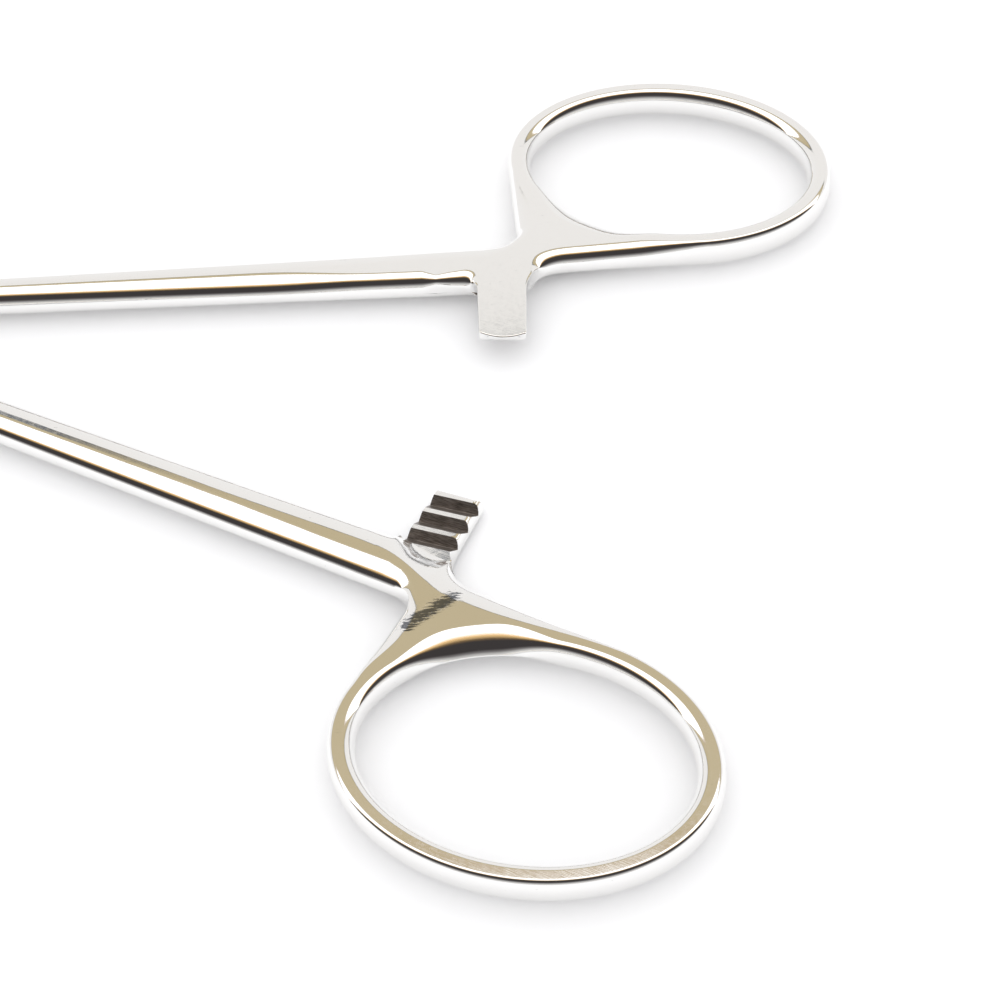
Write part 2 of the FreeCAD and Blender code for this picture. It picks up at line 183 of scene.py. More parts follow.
def select_edges_between(piece: bpy.types.Object, chain: list[int]) -> None:
    """Go to edit mode with the edges of a closed chain of vertices selected.

    Args:
        piece: The piece to select on.
        chain: Vertex numbers in order.
    """
    pairs = {frozenset(pair) for pair in zip(chain, chain[1:] + chain[:1])}
    unmark(piece, Marked.EDGES)
    for edge in piece.data.edges:
        edge.select = frozenset(edge.vertices) in pairs
    bpy.ops.object.mode_set(mode="EDIT")


def select_vertices(piece: bpy.types.Object, numbers: set[int]) -> None:
    """Go to edit mode with only some vertices selected.

    Args:
        piece: The piece to select on.
        numbers: The numbers of the vertices.
    """
    unmark(piece, Marked.VERTICES)
    for vertex in piece.data.vertices:
        vertex.select = vertex.index in numbers
    bpy.ops.object.mode_set(mode="EDIT")


def split_flats(piece: bpy.types.Object) -> None:
    """Split every face of more than four corners into triangles.

    Args:
        piece: The piece to work on.
    """
    select_faces(piece, lambda polygon: len(polygon.vertices) > 4)
    bpy.ops.mesh.quads_convert_to_tris(ngon_method="BEAUTY")
    bpy.ops.object.mode_set(mode="OBJECT")


def combine(
    piece: bpy.types.Object, other: bpy.types.Object, cut: Cut, crossed: bool = False
) -> None:
    """Join a second piece to the first, or cut it out, and use the second up.

    Args:
        piece: The piece that stays.
        other: The piece that is used up.
        cut: Whether it is added or removed.
        crossed: Whether parts of the second piece cross each other.
    """
    split_flats(piece)
    split_flats(other)
    pick(piece)
    modifier = piece.modifiers.new("cut", "BOOLEAN")
    modifier.operation = cut.value
    modifier.solver = "EXACT" if crossed else "MANIFOLD"
    if crossed:
        modifier.use_self = True
    modifier.object = other
    bpy.ops.object.modifier_apply(modifier=modifier.name)
    mesh = other.data
    bpy.data.objects.remove(other)
    bpy.data.meshes.remove(mesh)


def turned_point(centre: Point, reach: float, turn: float) -> Point:
    """A point at a distance and a direction from a centre.

    Args:
        centre: Where to measure from.
        reach: The distance.
        turn: The direction in radians, from the X axis.

    Returns:
        The point.
    """
    return centre[0] + reach * math.cos(turn), centre[1] + reach * math.sin(turn)


def smooth_step(value: float) -> float:
    """Ease from 0 to 1, with level ends.

    Args:
        value: A number, which is first limited to 0 to 1.

    Returns:
        The eased number.
    """
    share = min(1.0, max(0.0, value))
    return share * share * (3 - 2 * share)


def mix(first: float, second: float, share: float) -> float:
    """A number between two others."""
    return first + (second - first) * share


@dataclass(frozen=True)
class Fade:
    """A change that eases in from a start, over a length that is negative if it runs back."""

    start: float
    length: float

    def at(self, value: float) -> float:
        """How far the change has come at a value, from 0 to 1."""
        return smooth_step((value - self.start) / self.length)


@dataclass(frozen=True)
class EdgeRound:
    """How one point of an outline is rounded over, as a quarter of an ellipse."""

    width: float
    height: float
    chamfer: float = 0.0
    spread: ClassVar[float] = 1.2

    def towards(self, other: "EdgeRound", share: float) -> "EdgeRound":
        """A rounding part of the way to another one.

        Args:
            other: The other rounding.
            share: How far, from 0 to 1.

        Returns:
            The rounding between.
        """
        return EdgeRound(mix(self.width, other.width, share), mix(self.height, other.height, share))

    def at(self, share: float) -> tuple[float, float]:
        """Inset and drop of the rounding, from its foot (0) to the flat face (1).

        Args:
            share: How far up the rounding.

        Returns:
            The distance in from the outline and the depth below the face.
        """
        tilt = math.pi / 2 * (1 - share) ** self.spread
        inset = mix(1 - math.sin(tilt), share, self.chamfer)
        drop = mix(1 - math.cos(tilt), 1 - share, self.chamfer)
        return self.width * inset, self.height * drop


@dataclass(frozen=True)
class RampDown(EdgeRound):
    """A rounding that turns, for a part of it, into a ramp down to the ratchet bar."""

    fall: float = 0.0
    part: float = 0.0
    ease: ClassVar[float] = 0.6

    def at(self, share: float) -> tuple[float, float]:
        """Inset and drop, from the foot of the ramp (0) to the flat face (1).

        Args:
            share: How far up the ramp.

        Returns:
            The distance in from the foot and the depth.
        """
        inset, drop = super().at(share)
        ramp_drop = self.fall * (1 - mix(share, smooth_step(share), self.ease))
        return mix(inset, self.width * share, self.part), mix(drop, ramp_drop, self.part)


@dataclass
class BarShape:
    """Sizes and place of a ratchet bar, which leans and narrows a little to its tip."""

    tip: Point = (67.38, -2.83)
    lean: float = 4.0
    cross_lean: float = -0.6
    half_width: float = 2.0
    widening: float = 0.02
    tip_bow: float = 0.42
    corner: float = 0.25
    edge_round: float = 0.14
    crest: float = 0.05
    crest_slope: float = 0.05
    crest_end: float = 6.1
    tip_bevel: float = 0.28
    side_bevel: float = 0.6
    left_bevel: float = 0.08
    bevel_height: float = 0.7
    bevel_fade: Fade = Fade(4.6, 2.6)
    own_width: float = 1.02

    def point(self, across: float, along: float) -> Point:
        """A point of the bar in plan.

        Args:
            across: Distance from its middle line, towards the ring.
            along: Distance from its tip, towards its root.

        Returns:
            The point.
        """
        lean, cross = math.radians(self.lean), math.radians(self.cross_lean)
        x = self.tip[0] + across * math.cos(cross) - along * math.sin(lean)
        y = self.tip[1] + across * math.sin(cross) + along * math.cos(lean)
        return x, y

    def local(self, place: Point) -> Point:
        """Where a point of the plan is on the bar.

        Args:
            place: The point.

        Returns:
            Its distances across from the middle line and along from the tip.
        """
        lean, cross = math.radians(self.lean), math.radians(self.cross_lean)
        dx, dy = place[0] - self.tip[0], place[1] - self.tip[1]
        square = math.cos(cross - lean)
        across = (dx * math.cos(lean) + dy * math.sin(lean)) / square
        return across, (dy * math.cos(cross) - dx * math.sin(cross)) / square

    def half_at(self, along: float) -> float:
        """Half the bar's width at a distance from its tip."""
        return self.half_width + self.widening * along

    def crest_height(self, place: Point) -> float:
        """Level of the plane that the teeth are cut into: it falls away to the tip."""
        return self.crest + self.crest_slope * (self.crest_end - self.local(place)[1])

    def bevelled(self, place: Point, share: float) -> Point:
        """Draw a point of the bar's outline in by a share of the bevel of its toothed side.

        Args:
            place: The point.
            share: How much of the bevel, from 0 to 1.

        Returns:
            The point drawn in.
        """
        across, along = self.local(place)
        half = self.half_at(along)
        fade = 1 - self.bevel_fade.at(along)
        most = half - self.side_bevel * share * fade
        least = -half + self.left_bevel * share * fade
        if abs(across) < half * self.own_width:
            across = min(most, max(least, across))
        else:
            across -= self.side_bevel * share * fade if across > 0 else 0.0
        along = max(along, self.tip_bevel * share)
        return self.point(across, along)


@dataclass
class HandleShape:
    """Sizes of a shank, its web and its finger ring, and the line that they follow."""

    thickness: float = 2.84
    round_height: float = 1.34
    crown: float = 0.35
    web_flat: float = 0.8
    flat_fade: Fade = Fade(50.0, 13.0)
    bar_side_share: float = 0.52
    back_share: float = 0.48
    share_fade: Fade = Fade(46.0, 18.0)
    lock_round: float = 0.25
    lock_fade: Fade = Fade(0.0, 5.0)
    notch_round: float = 1.45
    notch_first_round: float = 1.75
    notch_low_round: float = 0.9
    notch_lead: float = 0.7
    notch_fade: Fade = Fade(0.0, 2.4)
    notch_rise_fade: Fade = Fade(8.6, 1.6)
    notch_ring_fade: Fade = Fade(4.6, 4.6)
    bar_side_round: float = 2.0
    bar_side_fade: Fade = Fade(0.0, 13.0)
    ring_side: float = 10.0
    hole_web: Point = (73.5, 9.5)
    hole_web_round: float = 1.9
    hole_fade: Fade = Fade(2.5, 4.5)
    hole_chamfer: float = 0.55
    flush_round: float = 1.25
    flush_fade: Fade = Fade(46.0, 10.0)
    sharp_reach: Point = (6.0, 9.5)
    sharp_by_web: Fade = Fade(8.5, -1.5)
    sharp_by_shank: Fade = Fade(3.4, -0.4)
    join_slack: float = 0.01
    ring_round_out: float = 0.58
    ring_round_in: float = 0.86
    root_length: float = 10.0
    root_inner: float = 0.05
    root_outer: float = 2.95
    left_root: Point = (63.72, 3.35)
    left_foot: float = 5.2
    right_root: Point = (72.30, 6.09)
    right_foot: float = 5.0
    ring_centre: Point = (80.98, 18.36)
    ring_length: float = 28.9
    ring_width: float = 21.5
    ring_wall: float = 2.05
    ring_tilt: float = 8.0
    web_centre: Point = (69.0, 7.5)
    web_meets_ring: float = -69.0
    notch_meets_ring: float = 196.0
    notch_centre: Point = (66.15, 9.8)
    notch_radius: float = 1.7
    ramp_top: tuple[Point, Point] = ((66.8, 5.3), (69.3, 8.4))
    left_ramp_width: float = 2.0
    ramp_foot_share: tuple[float, float] = (0.62, 0.3)
    ramp_start: Fade = Fade(0.0, 0.4)
    ramp_end: Fade = Fade(1.0, -0.55)
    ring_steps: int = 230
    hole_steps: int = 216

    def ring_at(self, turn: float, inset: float) -> Point:
        """A point of the ring's outline.

        Args:
            turn: Degrees round from the ring's long axis.
            inset: How far inside the outer outline.

        Returns:
            The point.
        """
        along = (self.ring_length / 2 - inset) * math.cos(math.radians(turn))
        across = (self.ring_width / 2 - inset) * math.sin(math.radians(turn))
        tilt = math.radians(-self.ring_tilt)
        x = self.ring_centre[0] + along * math.cos(tilt) - across * math.sin(tilt)
        y = self.ring_centre[1] + along * math.sin(tilt) + across * math.cos(tilt)
        return x, y

    def tangent_turn(self, outside: Point, start: float) -> float:
        """Where a line from a point outside touches the ring.

        Args:
            outside: The point.
            start: Degrees round the ring to search from.

        Returns:
            Degrees round the ring.
        """
        def miss(turn: float) -> float:
            here = self.ring_at(turn, 0)
            ahead = self.ring_at(turn + 0.01, 0)
            heading = (ahead[0] - here[0], ahead[1] - here[1])
            sight = (here[0] - outside[0], here[1] - outside[1])
            return heading[0] * sight[1] - heading[1] * sight[0]

        low, high = start - 25, start + 25
        low_miss = miss(low)
        for _ in range(50):
            middle = (low + high) / 2
            if (miss(middle) > 0) == (low_miss > 0):
                low = middle
            else:
                high = middle
        return (low + high) / 2

    def notch_tangents(self) -> tuple[float, float]:
        """Where the shank's outer line and the ring's line touch the notch.

        Returns:
            The two directions from the notch's centre, in radians.
        """
        centre, radius = self.notch_centre, self.notch_radius
        corner = (self.root_length, self.root_outer)
        span = math.hypot(centre[0] - corner[0], centre[1] - corner[1])
        bearing = math.atan2(corner[1] - centre[1], corner[0] - centre[0])
        shank_turn = bearing + math.acos(radius / span)
        ring_point = self.ring_at(self.notch_meets_ring, 0)
        span = math.hypot(ring_point[0] - centre[0], ring_point[1] - centre[1])
        bearing = math.atan2(ring_point[1] - centre[1], ring_point[0] - centre[0])
        ring_turn = bearing - math.acos(radius / span)
        return shank_turn, ring_turn

    def shank_width(self, x: float) -> float:
        """How wide the shank is in plan.

        Args:
            x: The distance from the rivet.

        Returns:
            The width.
        """
        notch_low = turned_point(self.notch_centre, self.notch_radius, self.notch_tangents()[0])
        share = max(0.0, x - self.root_length)
        inner_rise = (self.left_root[1] - self.root_inner) / (self.left_root[0] - self.root_length)
        outer_rise = (notch_low[1] - self.root_outer) / (notch_low[0] - self.root_length)
        return self.root_outer - self.root_inner + share * (outer_rise - inner_rise)

    def shank_round(self, x: float, flank: Flank) -> float:
        """How far in the rounding of one side of the shank goes.

        Args:
            x: The distance from the rivet.
            flank: The side of the shank.

        Returns:
            The width of the rounding.
        """
        flat = mix(self.crown, self.web_flat, self.flat_fade.at(x))
        web_share = self.bar_side_share if flank is Flank.BAR_SIDE else self.back_share
        share = mix(0.5, web_share, self.share_fade.at(x))
        return mix(self.lock_round, (self.shank_width(x) - flat) * share, self.lock_fade.at(x))

    def hole_round(self, place: Point) -> EdgeRound:
        """Rounding of the finger hole's edge: wide and chamfered at the web.

        Args:
            place: The point of the hole's outline.

        Returns:
            The rounding.
        """
        from_web = math.hypot(place[0] - self.hole_web[0], place[1] - self.hole_web[1])
        share = self.hole_fade.at(from_web)
        width = mix(self.hole_web_round, self.ring_round_in, share)
        return EdgeRound(width, self.round_height, chamfer=self.hole_chamfer * (1 - share))

    def plain_round(self, place: Point, flank: Flank) -> EdgeRound:
        """Rounding of the handle's edges: nearly half round on the shank, tighter on the ring.

        Args:
            place: The point of the outline.
            flank: The part of the outline that it is on.

        Returns:
            The rounding.
        """
        if flank is Flank.HOLE:
            return self.hole_round(place)
        on_bar_side = flank is Flank.BAR_SIDE
        shank_end = self.left_root[0] if on_bar_side else self.notch_centre[0] - self.notch_lead
        if place[0] < shank_end + self.join_slack:
            width = self.shank_round(place[0], flank)
        elif on_bar_side:
            past_root = max(0.0, place[0] - self.right_root[0])
            width = mix(self.bar_side_round, self.ring_round_out, self.bar_side_fade.at(past_root))
            if place[1] > self.ring_side:
                width = self.ring_round_out
        else:
            past_lead = place[0] - self.notch_centre[0] + self.notch_lead
            reach = math.hypot(place[0] - self.web_centre[0], place[1] - self.web_centre[1])
            width = mix(self.notch_first_round, self.notch_low_round, self.notch_fade.at(past_lead))
            width = mix(width, self.notch_round, self.notch_rise_fade.at(place[1]))
            width = mix(width, self.ring_round_out, self.notch_ring_fade.at(reach))
        return EdgeRound(width, self.round_height)


def straight(start: Point, end: Point, spacing: float) -> list[Point]:
    """Points along a straight line, without its last one.

    Args:
        start: Where the line starts.
        end: Where it ends.
        spacing: About how far apart the points are.

    Returns:
        The points.
    """
    span = math.hypot(end[0] - start[0], end[1] - start[1])
    count = max(1, round(span / spacing))
    return [(mix(start[0], end[0], i / count), mix(start[1], end[1], i / count)) for i in range(count)]


def arc(centre: Point, radius: float, start: float, end: float, spacing: float) -> list[Point]:
    """Points along an arc, without its last one.

    Args:
        centre: Its centre.
        radius: Its radius.
        start: The direction from the centre where it starts, in radians.
        end: The direction where it ends.
        spacing: About how far apart the points are.

    Returns:
        The points.
    """
    count = max(4, round(abs(end - start) * radius / spacing))
    return [turned_point(centre, radius, mix(start, end, i / count)) for i in range(count)]


def bezier_point(ends: tuple[Point, Point], handles: tuple[Point, Point], t: float) -> Point:
    """A point of a cubic curve.

    Args:
        ends: Its first and last point.
        handles: The points that it is drawn towards.
        t: How far along it the point is, from 0 to 1.

    Returns:
        The point.
    """
    weights = ((1 - t) ** 3, 3 * t * (1 - t) ** 2, 3 * t * t * (1 - t), t ** 3)
    corners = (ends[0], handles[0], handles[1], ends[1])
    x = sum(weight * corner[0] for weight, corner in zip(weights, corners))
    return x, sum(weight * corner[1] for weight, corner in zip(weights, corners))


def bezier(ends: tuple[Point, Point], handles: tuple[Point, Point], count: int) -> list[Point]:
    """Points along a cubic curve, without its last one."""
    return [bezier_point(ends, handles, i / count) for i in range(count)]


@dataclass(frozen=True)
class PlanPoint:
    """What happens to one point of the plan as the handle is raised and rounded."""

    flush_in: Vector
    ramped_in: Vector
    flush: EdgeRound
    ramped: EdgeRound
    on_bar: bool = False
    on_root: bool = False


@dataclass
class Handle:
    """Finger ring, web, shank and ratchet bar, made from one sheet drawn in plan."""

    shape: HandleShape = field(default_factory=HandleShape)
    bar: BarShape = field(default_factory=BarShape)
    round_steps: int = 14
    bevel_steps: int = 5
    bevel_foot: float = 0.2
    level_gap: float = 1.0
    root_steps: int = 30
    root_bows: Point = (0.25, 0.1)
    root_round: float = 0.3
    bar_spacing: float = 0.3
    corner_steps: int = 6
    tip_steps: int = 16
    left_steps: int = 14
    left_pull: float = 0.4
    right_steps: int = 24
    right_pull: float = 0.42
    lock_spacing: float = 1.0
    shank_spacing: float = 1.2
    web_spacing: float = 0.8
    notch_spacing: float = 0.16
    notch_line_spacing: float = 0.5
    hole_link: int = 225
    bar_only: float = -1.0
    merge_gap: float = 0.0004

    def bar_outline(self) -> list[Point]:
        """The bar's outline from its left foot round its tip to its right foot.

        Returns:
            The points, with both feet.
        """
        s, bar = self.shape, self.bar
        half, corner = bar.half_width, bar.corner
        left_foot = bar.point(-bar.half_at(s.left_foot), s.left_foot)
        right_foot = bar.point(bar.half_at(s.right_foot), s.right_foot)
        points = straight(left_foot, bar.point(-bar.half_at(corner), corner), self.bar_spacing)
        for i in range(self.corner_steps):
            turn = math.pi + math.pi / 2 * i / self.corner_steps
            across = corner * (1 + math.cos(turn)) - half
            points.append(bar.point(across, corner * (1 + math.sin(turn))))
        for i in range(self.tip_steps):
            share = mix(-1.0, 1.0, i / self.tip_steps)
            points.append(bar.point(share * (half - corner), -bar.tip_bow * (1 - share * share)))
        for i in range(self.corner_steps):
            turn = -math.pi / 2 + math.pi / 2 * i / self.corner_steps
            across = half + corner * (math.cos(turn) - 1)
            points.append(bar.point(across, corner * (1 + math.sin(turn))))
        points += straight(bar.point(bar.half_at(corner), corner), right_foot, self.bar_spacing)
        return points + [right_foot]

    def plan(self) -> tuple[list[Point], dict[str, int]]:
        """Draw the outline with the bar.

        Returns:
            Its points, anticlockwise, and the numbers of the marked ones.
        """
        s = self.shape
        up_the_bar = math.pi / 2 + math.radians(self.bar.lean)
        points: list[Point] = []
        marks: dict[str, int] = {}
        inner_start = (s.root_length, s.root_inner)
        points += straight((0.0, s.root_inner), inner_start, self.lock_spacing)
        points += straight(inner_start, s.left_root, self.shank_spacing)
        marks["left_root"] = len(points)

        bar_outline = self.bar_outline()
        shank_lean = math.atan2(s.left_root[1] - inner_start[1], s.left_root[0] - inner_start[0])
        left_foot, right_foot = bar_outline[0], bar_outline.pop()
        span = math.hypot(left_foot[0] - s.left_root[0], left_foot[1] - s.left_root[1])
        pull = span * self.left_pull
        marks["left_foot"] = len(points) + round(self.left_steps * s.ramp_foot_share[0])
        points += bezier(
            (s.left_root, left_foot),
            (
                turned_point(s.left_root, pull, shank_lean),
                turned_point(left_foot, pull, up_the_bar),
            ),
            self.left_steps,
        )
        points += bar_outline
        web_turn = s.tangent_turn(s.right_root, s.web_meets_ring)
        web_end = s.ring_at(web_turn, 0)
        web_lean = math.atan2(web_end[1] - s.right_root[1], web_end[0] - s.right_root[0])
        marks["right_foot"] = len(points) + round(self.right_steps * s.ramp_foot_share[1])
        span = math.hypot(s.right_root[0] - right_foot[0], s.right_root[1] - right_foot[1])
        pull = span * self.right_pull
        points += bezier(
            (right_foot, s.right_root),
            (
                turned_point(right_foot, pull, up_the_bar),
                turned_point(s.right_root, pull, web_lean + math.pi),
            ),
            self.right_steps,
        )
        marks["right_root"] = len(points)
        points += straight(s.right_root, web_end, self.web_spacing)
        shank_turn, notch_ring_turn = s.notch_tangents()
        steps = s.ring_steps
        ring_turns = [mix(web_turn, s.notch_meets_ring, i / steps) for i in range(steps)]
        marks["ring_cut"] = len(points) + min(range(steps), key=lambda i: abs(ring_turns[i]))
        points += [s.ring_at(turn, 0) for turn in ring_turns]
        ring_end = s.ring_at(s.notch_meets_ring, 0)
        notch_top = turned_point(s.notch_centre, s.notch_radius, notch_ring_turn)
        points += straight(ring_end, notch_top, self.notch_line_spacing)
        marks["notch_start"] = len(points)
        points += arc(s.notch_centre, s.notch_radius, notch_ring_turn, shank_turn, self.notch_spacing)
        notch_low = turned_point(s.notch_centre, s.notch_radius, shank_turn)
        outer_start = (s.root_length, s.root_outer)
        points += straight(notch_low, outer_start, self.shank_spacing)
        points += straight(outer_start, (0.0, s.root_outer), self.lock_spacing)
        points.append((0.0, s.root_outer))
        return points, marks

    def root_curve(self, points: list[Point], marks: dict[str, int]) -> list[Point]:
        """The line across the bar where the ramp to its teeth starts.

        Args:
            points: The outline with the bar.
            marks: The numbers of its marked points.

        Returns:
            The points of the line, with both its ends.
        """
        start, end = points[marks["left_foot"]], points[marks["right_foot"]]
        across = (end[0] - start[0]) / 3
        first = (start[0] + across, start[1] + self.root_bows[0])
        second = (end[0] - across, end[1] + self.root_bows[1])
        return bezier((start, end), (first, second), self.root_steps) + [end]

    def ramp_tops(self, feet: list[Point], ends: tuple[Point, Point]) -> list[Point]:
        """The ramp's upper edge, with one point for each point of its foot.

        Args:
            feet: The points of its foot, from the shank to the web.
            ends: The first and the last point of the upper edge.

        Returns:
            The points of the upper edge.
        """
        lengths = [0.0]
        for here, ahead in zip(feet, feet[1:]):
            lengths.append(lengths[-1] + math.hypot(ahead[0] - here[0], ahead[1] - here[1]))
        return [bezier_point(ends, self.shape.ramp_top, length / lengths[-1]) for length in lengths]

    @staticmethod
    def inward(points: list[Point]) -> list[Vector]:
        """Directions into the metal at each point of an anticlockwise outline.

        Args:
            points: The outline.

        Returns:
            One vector for each point, longer at a corner so that its edges stay parallel.
        """
        count = len(points)
        normals = []
        for i, here in enumerate(points):
            headings = []
            for first, second in ((points[i - 1], here), (here, points[(i + 1) % count])):
                heading = Vector((second[0] - first[0], second[1] - first[1]))
                headings.append(heading.normalized())
            along = (headings[0] + headings[1]).normalized()
            inwards = Vector((-along.y, along.x))
            normals.append(inwards / max(SHARPEST_CORNER, along.dot(headings[0])))
        return normals

    def flush_round(self, point: Point, flank: Flank) -> EdgeRound:
        """Rounding on the face that the bar is flush with: nearly sharp along the bar.

        Args:
            point: The point of the outline.
            flank: The part of the outline that it is on.

        Returns:
            The rounding.
        """
        s = self.shape
        plain = s.plain_round(point, flank)
        if flank is Flank.BAR_SIDE:
            tight = s.flush_fade.at(point[0])
            plain = EdgeRound(mix(plain.width, min(plain.width, s.flush_round), tight), plain.height)
        across, along = self.bar.local(point)
        if abs(across) > s.sharp_reach[0] or along > s.sharp_reach[1]:
            return plain
        sharp = EdgeRound(self.bar.edge_round, self.bar.edge_round)
        share = s.sharp_by_web.at(along) if across > 0 else s.sharp_by_shank.at(point[1])
        return plain.towards(sharp, share)

    def ramp_down(self, foot: Point, top: Point, share: float) -> tuple[Vector, EdgeRound]:
        """Ramp on the other face, from the web down to the plane of the bar's teeth.

        Args:
            foot: A point of its foot.
            top: The point of its upper edge that belongs to it.
            share: How far along the foot it is, from 0 to 1.

        Returns:
            The direction of the ramp and its shape.
        """
        s = self.shape
        run = Vector((top[0] - foot[0], top[1] - foot[1]))
        part = s.ramp_start.at(share) * s.ramp_end.at(share)
        fall = s.thickness / 2 + self.bar.crest_height(foot)
        height = mix(s.round_height, fall, part)
        return run.normalized(), RampDown(width=run.length, height=height, fall=fall, part=part)

    def draw_sheet(self) -> tuple[bpy.types.Object, dict]:
        """Draw the plan as a flat sheet of three faces, with the finger hole open.

        Returns:
            The sheet, and what is known of each of its points by its place in plan.
        """
        s = self.shape
        points, marks = self.plan()
        clear_selection()
        bpy.ops.mesh.primitive_circle_add(vertices=len(points), radius=10.0, fill_type="NOTHING")
        sheet = take_new("handle")
        bpy.ops.object.mode_set(mode="EDIT")
        bpy.ops.mesh.primitive_circle_add(vertices=s.hole_steps, radius=1.0, fill_type="NOTHING")
        bpy.ops.object.mode_set(mode="OBJECT")
        mesh = sheet.data
        hole = [s.ring_at(360.0 * i / s.hole_steps, s.ring_wall) for i in range(s.hole_steps)]
        for vertex, place in zip(mesh.vertices, points + hole):
            vertex.co = (place[0], place[1], 0.0)
        outline_count = len(points)

        left, right = marks["left_foot"], marks["right_foot"]
        select_vertices(sheet, {left, right})
        bpy.ops.mesh.edge_face_add()
        bpy.ops.mesh.subdivide(number_cuts=self.root_steps - 1)
        bpy.ops.object.mode_set(mode="OBJECT")
        chain_start = outline_count + s.hole_steps
        start = mesh.vertices[left].co.copy()
        extra = sorted(
            range(chain_start, len(mesh.vertices)),
            key=lambda index: (mesh.vertices[index].co - start).length,
        )
        root = self.root_curve(points, marks)
        for index, place in zip(extra, root[1:-1]):
            mesh.vertices[index].co = (place[0], place[1], 0.0)

        hole_first = outline_count
        hole_back = outline_count + round(s.hole_steps * self.hole_link / 360)
        for first, second in ((marks["ring_cut"], hole_first), (marks["notch_start"], hole_back)):
            select_vertices(sheet, {first, second})
            bpy.ops.mesh.edge_face_add()

        bar_face = list(range(left, right + 1)) + extra[::-1]
        outer_face = list(range(marks["ring_cut"], marks["notch_start"] + 1))
        outer_face += list(range(hole_back, hole_first - 1, -1))
        inner_face = list(range(marks["notch_start"], outline_count)) + list(range(left + 1))
        inner_face += extra + list(range(right, marks["ring_cut"] + 1))
        inner_face += [hole_first] + list(range(outline_count + s.hole_steps - 1, hole_back - 1, -1))
        for chain in (bar_face, outer_face, inner_face):
            select_edges_between(sheet, chain)
            bpy.ops.mesh.edge_face_add()
            bpy.ops.object.mode_set(mode="OBJECT")
        return sheet, self.known_points(points, hole, root, marks)

    def known_points(
        self, points: list[Point], hole: list[Point], root: list[Point], marks: dict[str, int]
    ) -> dict:
        """What is known of each point of the sheet, by its place in plan.

        Args:
            points: The outline with the bar.
            hole: The finger hole's outline.
            root: The line along which the bar leaves the handle.
            marks: The numbers of the outline's marked points.

        Returns:
            A PlanPoint for each place.
        """
        s = self.shape
        left, right = marks["left_foot"], marks["right_foot"]
        bare = points[:left] + root + points[right + 1:]
        bare_at = {self.key(place): normal for place, normal in zip(bare, self.inward(bare))}
        known = {}
        for number, (place, normal) in enumerate(zip(points, self.inward(points))):
            flank = Flank.BAR_SIDE if number < marks["ring_cut"] else Flank.BACK
            known[self.key(place)] = PlanPoint(
                flush_in=normal,
                ramped_in=bare_at.get(self.key(place), normal),
                flush=self.flush_round(place, flank),
                ramped=s.plain_round(place, flank),
                on_bar=left < number < right,
            )
        first, last = marks["left_root"], marks["right_root"]
        feet = points[first:left] + root + points[right + 1:last + 1]
        end_normals = (bare_at[self.key(feet[0])], bare_at[self.key(feet[-1])])
        widths = (s.left_ramp_width, s.bar_side_round)
        ends = [
            (foot[0] + normal.x * width, foot[1] + normal.y * width)
            for foot, normal, width in zip((feet[0], feet[-1]), end_normals, widths)
        ]
        tops = self.ramp_tops(feet, (ends[0], ends[1]))
        for number, (foot, top) in enumerate(zip(feet, tops)):
            key = self.key(foot)
            direction, ramp = self.ramp_down(foot, top, number / (len(feet) - 1))
            if key in known:
                old = known[key]
                known[key] = PlanPoint(old.flush_in, direction, old.flush, ramp, old.on_bar)
            else:
                small = EdgeRound(self.root_round, self.root_round)
                known[key] = PlanPoint(direction, direction, small, ramp, on_root=True)
        for place, normal in zip(hole, self.inward(hole)):
            rounding = s.plain_round(place, Flank.HOLE)
            known[self.key(place)] = PlanPoint(-normal, -normal, rounding, rounding)
        return known

    @staticmethod
    def key(place: Point) -> tuple[int, int]:
        """A place in plan as a key that single precision doesn't change."""
        return round(place[0] * KEYS_PER_MM), round(place[1] * KEYS_PER_MM)

    def build(self) -> bpy.types.Object:
        """Raise the sheet to a solid and round its edges over.

        Returns:
            The handle, with the face that the bar is flush with upwards.
        """
        sheet, known = self.draw_sheet()
        select_faces(sheet, lambda polygon: True)
        gap = self.level_gap
        crest_level = self.round_steps + self.bevel_steps
        for _ in range(crest_level):
            bpy.ops.mesh.extrude_region_move(TRANSFORM_OT_translate={"value": (0, 0, -gap)})
        bpy.ops.object.mode_set(mode="OBJECT")
        lowest = -crest_level * gap + gap / 4
        mesh = sheet.data

        def is_handle_sheet(polygon: bpy.types.MeshPolygon) -> bool:
            """The lowest level of the sheet, without the bar."""
            corners = [mesh.vertices[index].co for index in polygon.vertices]
            level = all(corner.z < lowest for corner in corners)
            return level and not any(
                corner.x > self.shape.root_length and corner.y < self.bar_only for corner in corners
            )

        select_faces(sheet, is_handle_sheet)
        for _ in range(self.round_steps + 1):
            bpy.ops.mesh.extrude_region_move(TRANSFORM_OT_translate={"value": (0, 0, -gap)})
        bpy.ops.object.mode_set(mode="OBJECT")
        for vertex in mesh.vertices:
            vertex.co = self.rounded(vertex.co, known, crest_level)
        select_faces(sheet, lambda polygon: True)
        bpy.ops.mesh.remove_doubles(threshold=self.merge_gap)
        bpy.ops.mesh.normals_make_consistent(inside=False)
        bpy.ops.object.mode_set(mode="OBJECT")
        return sheet

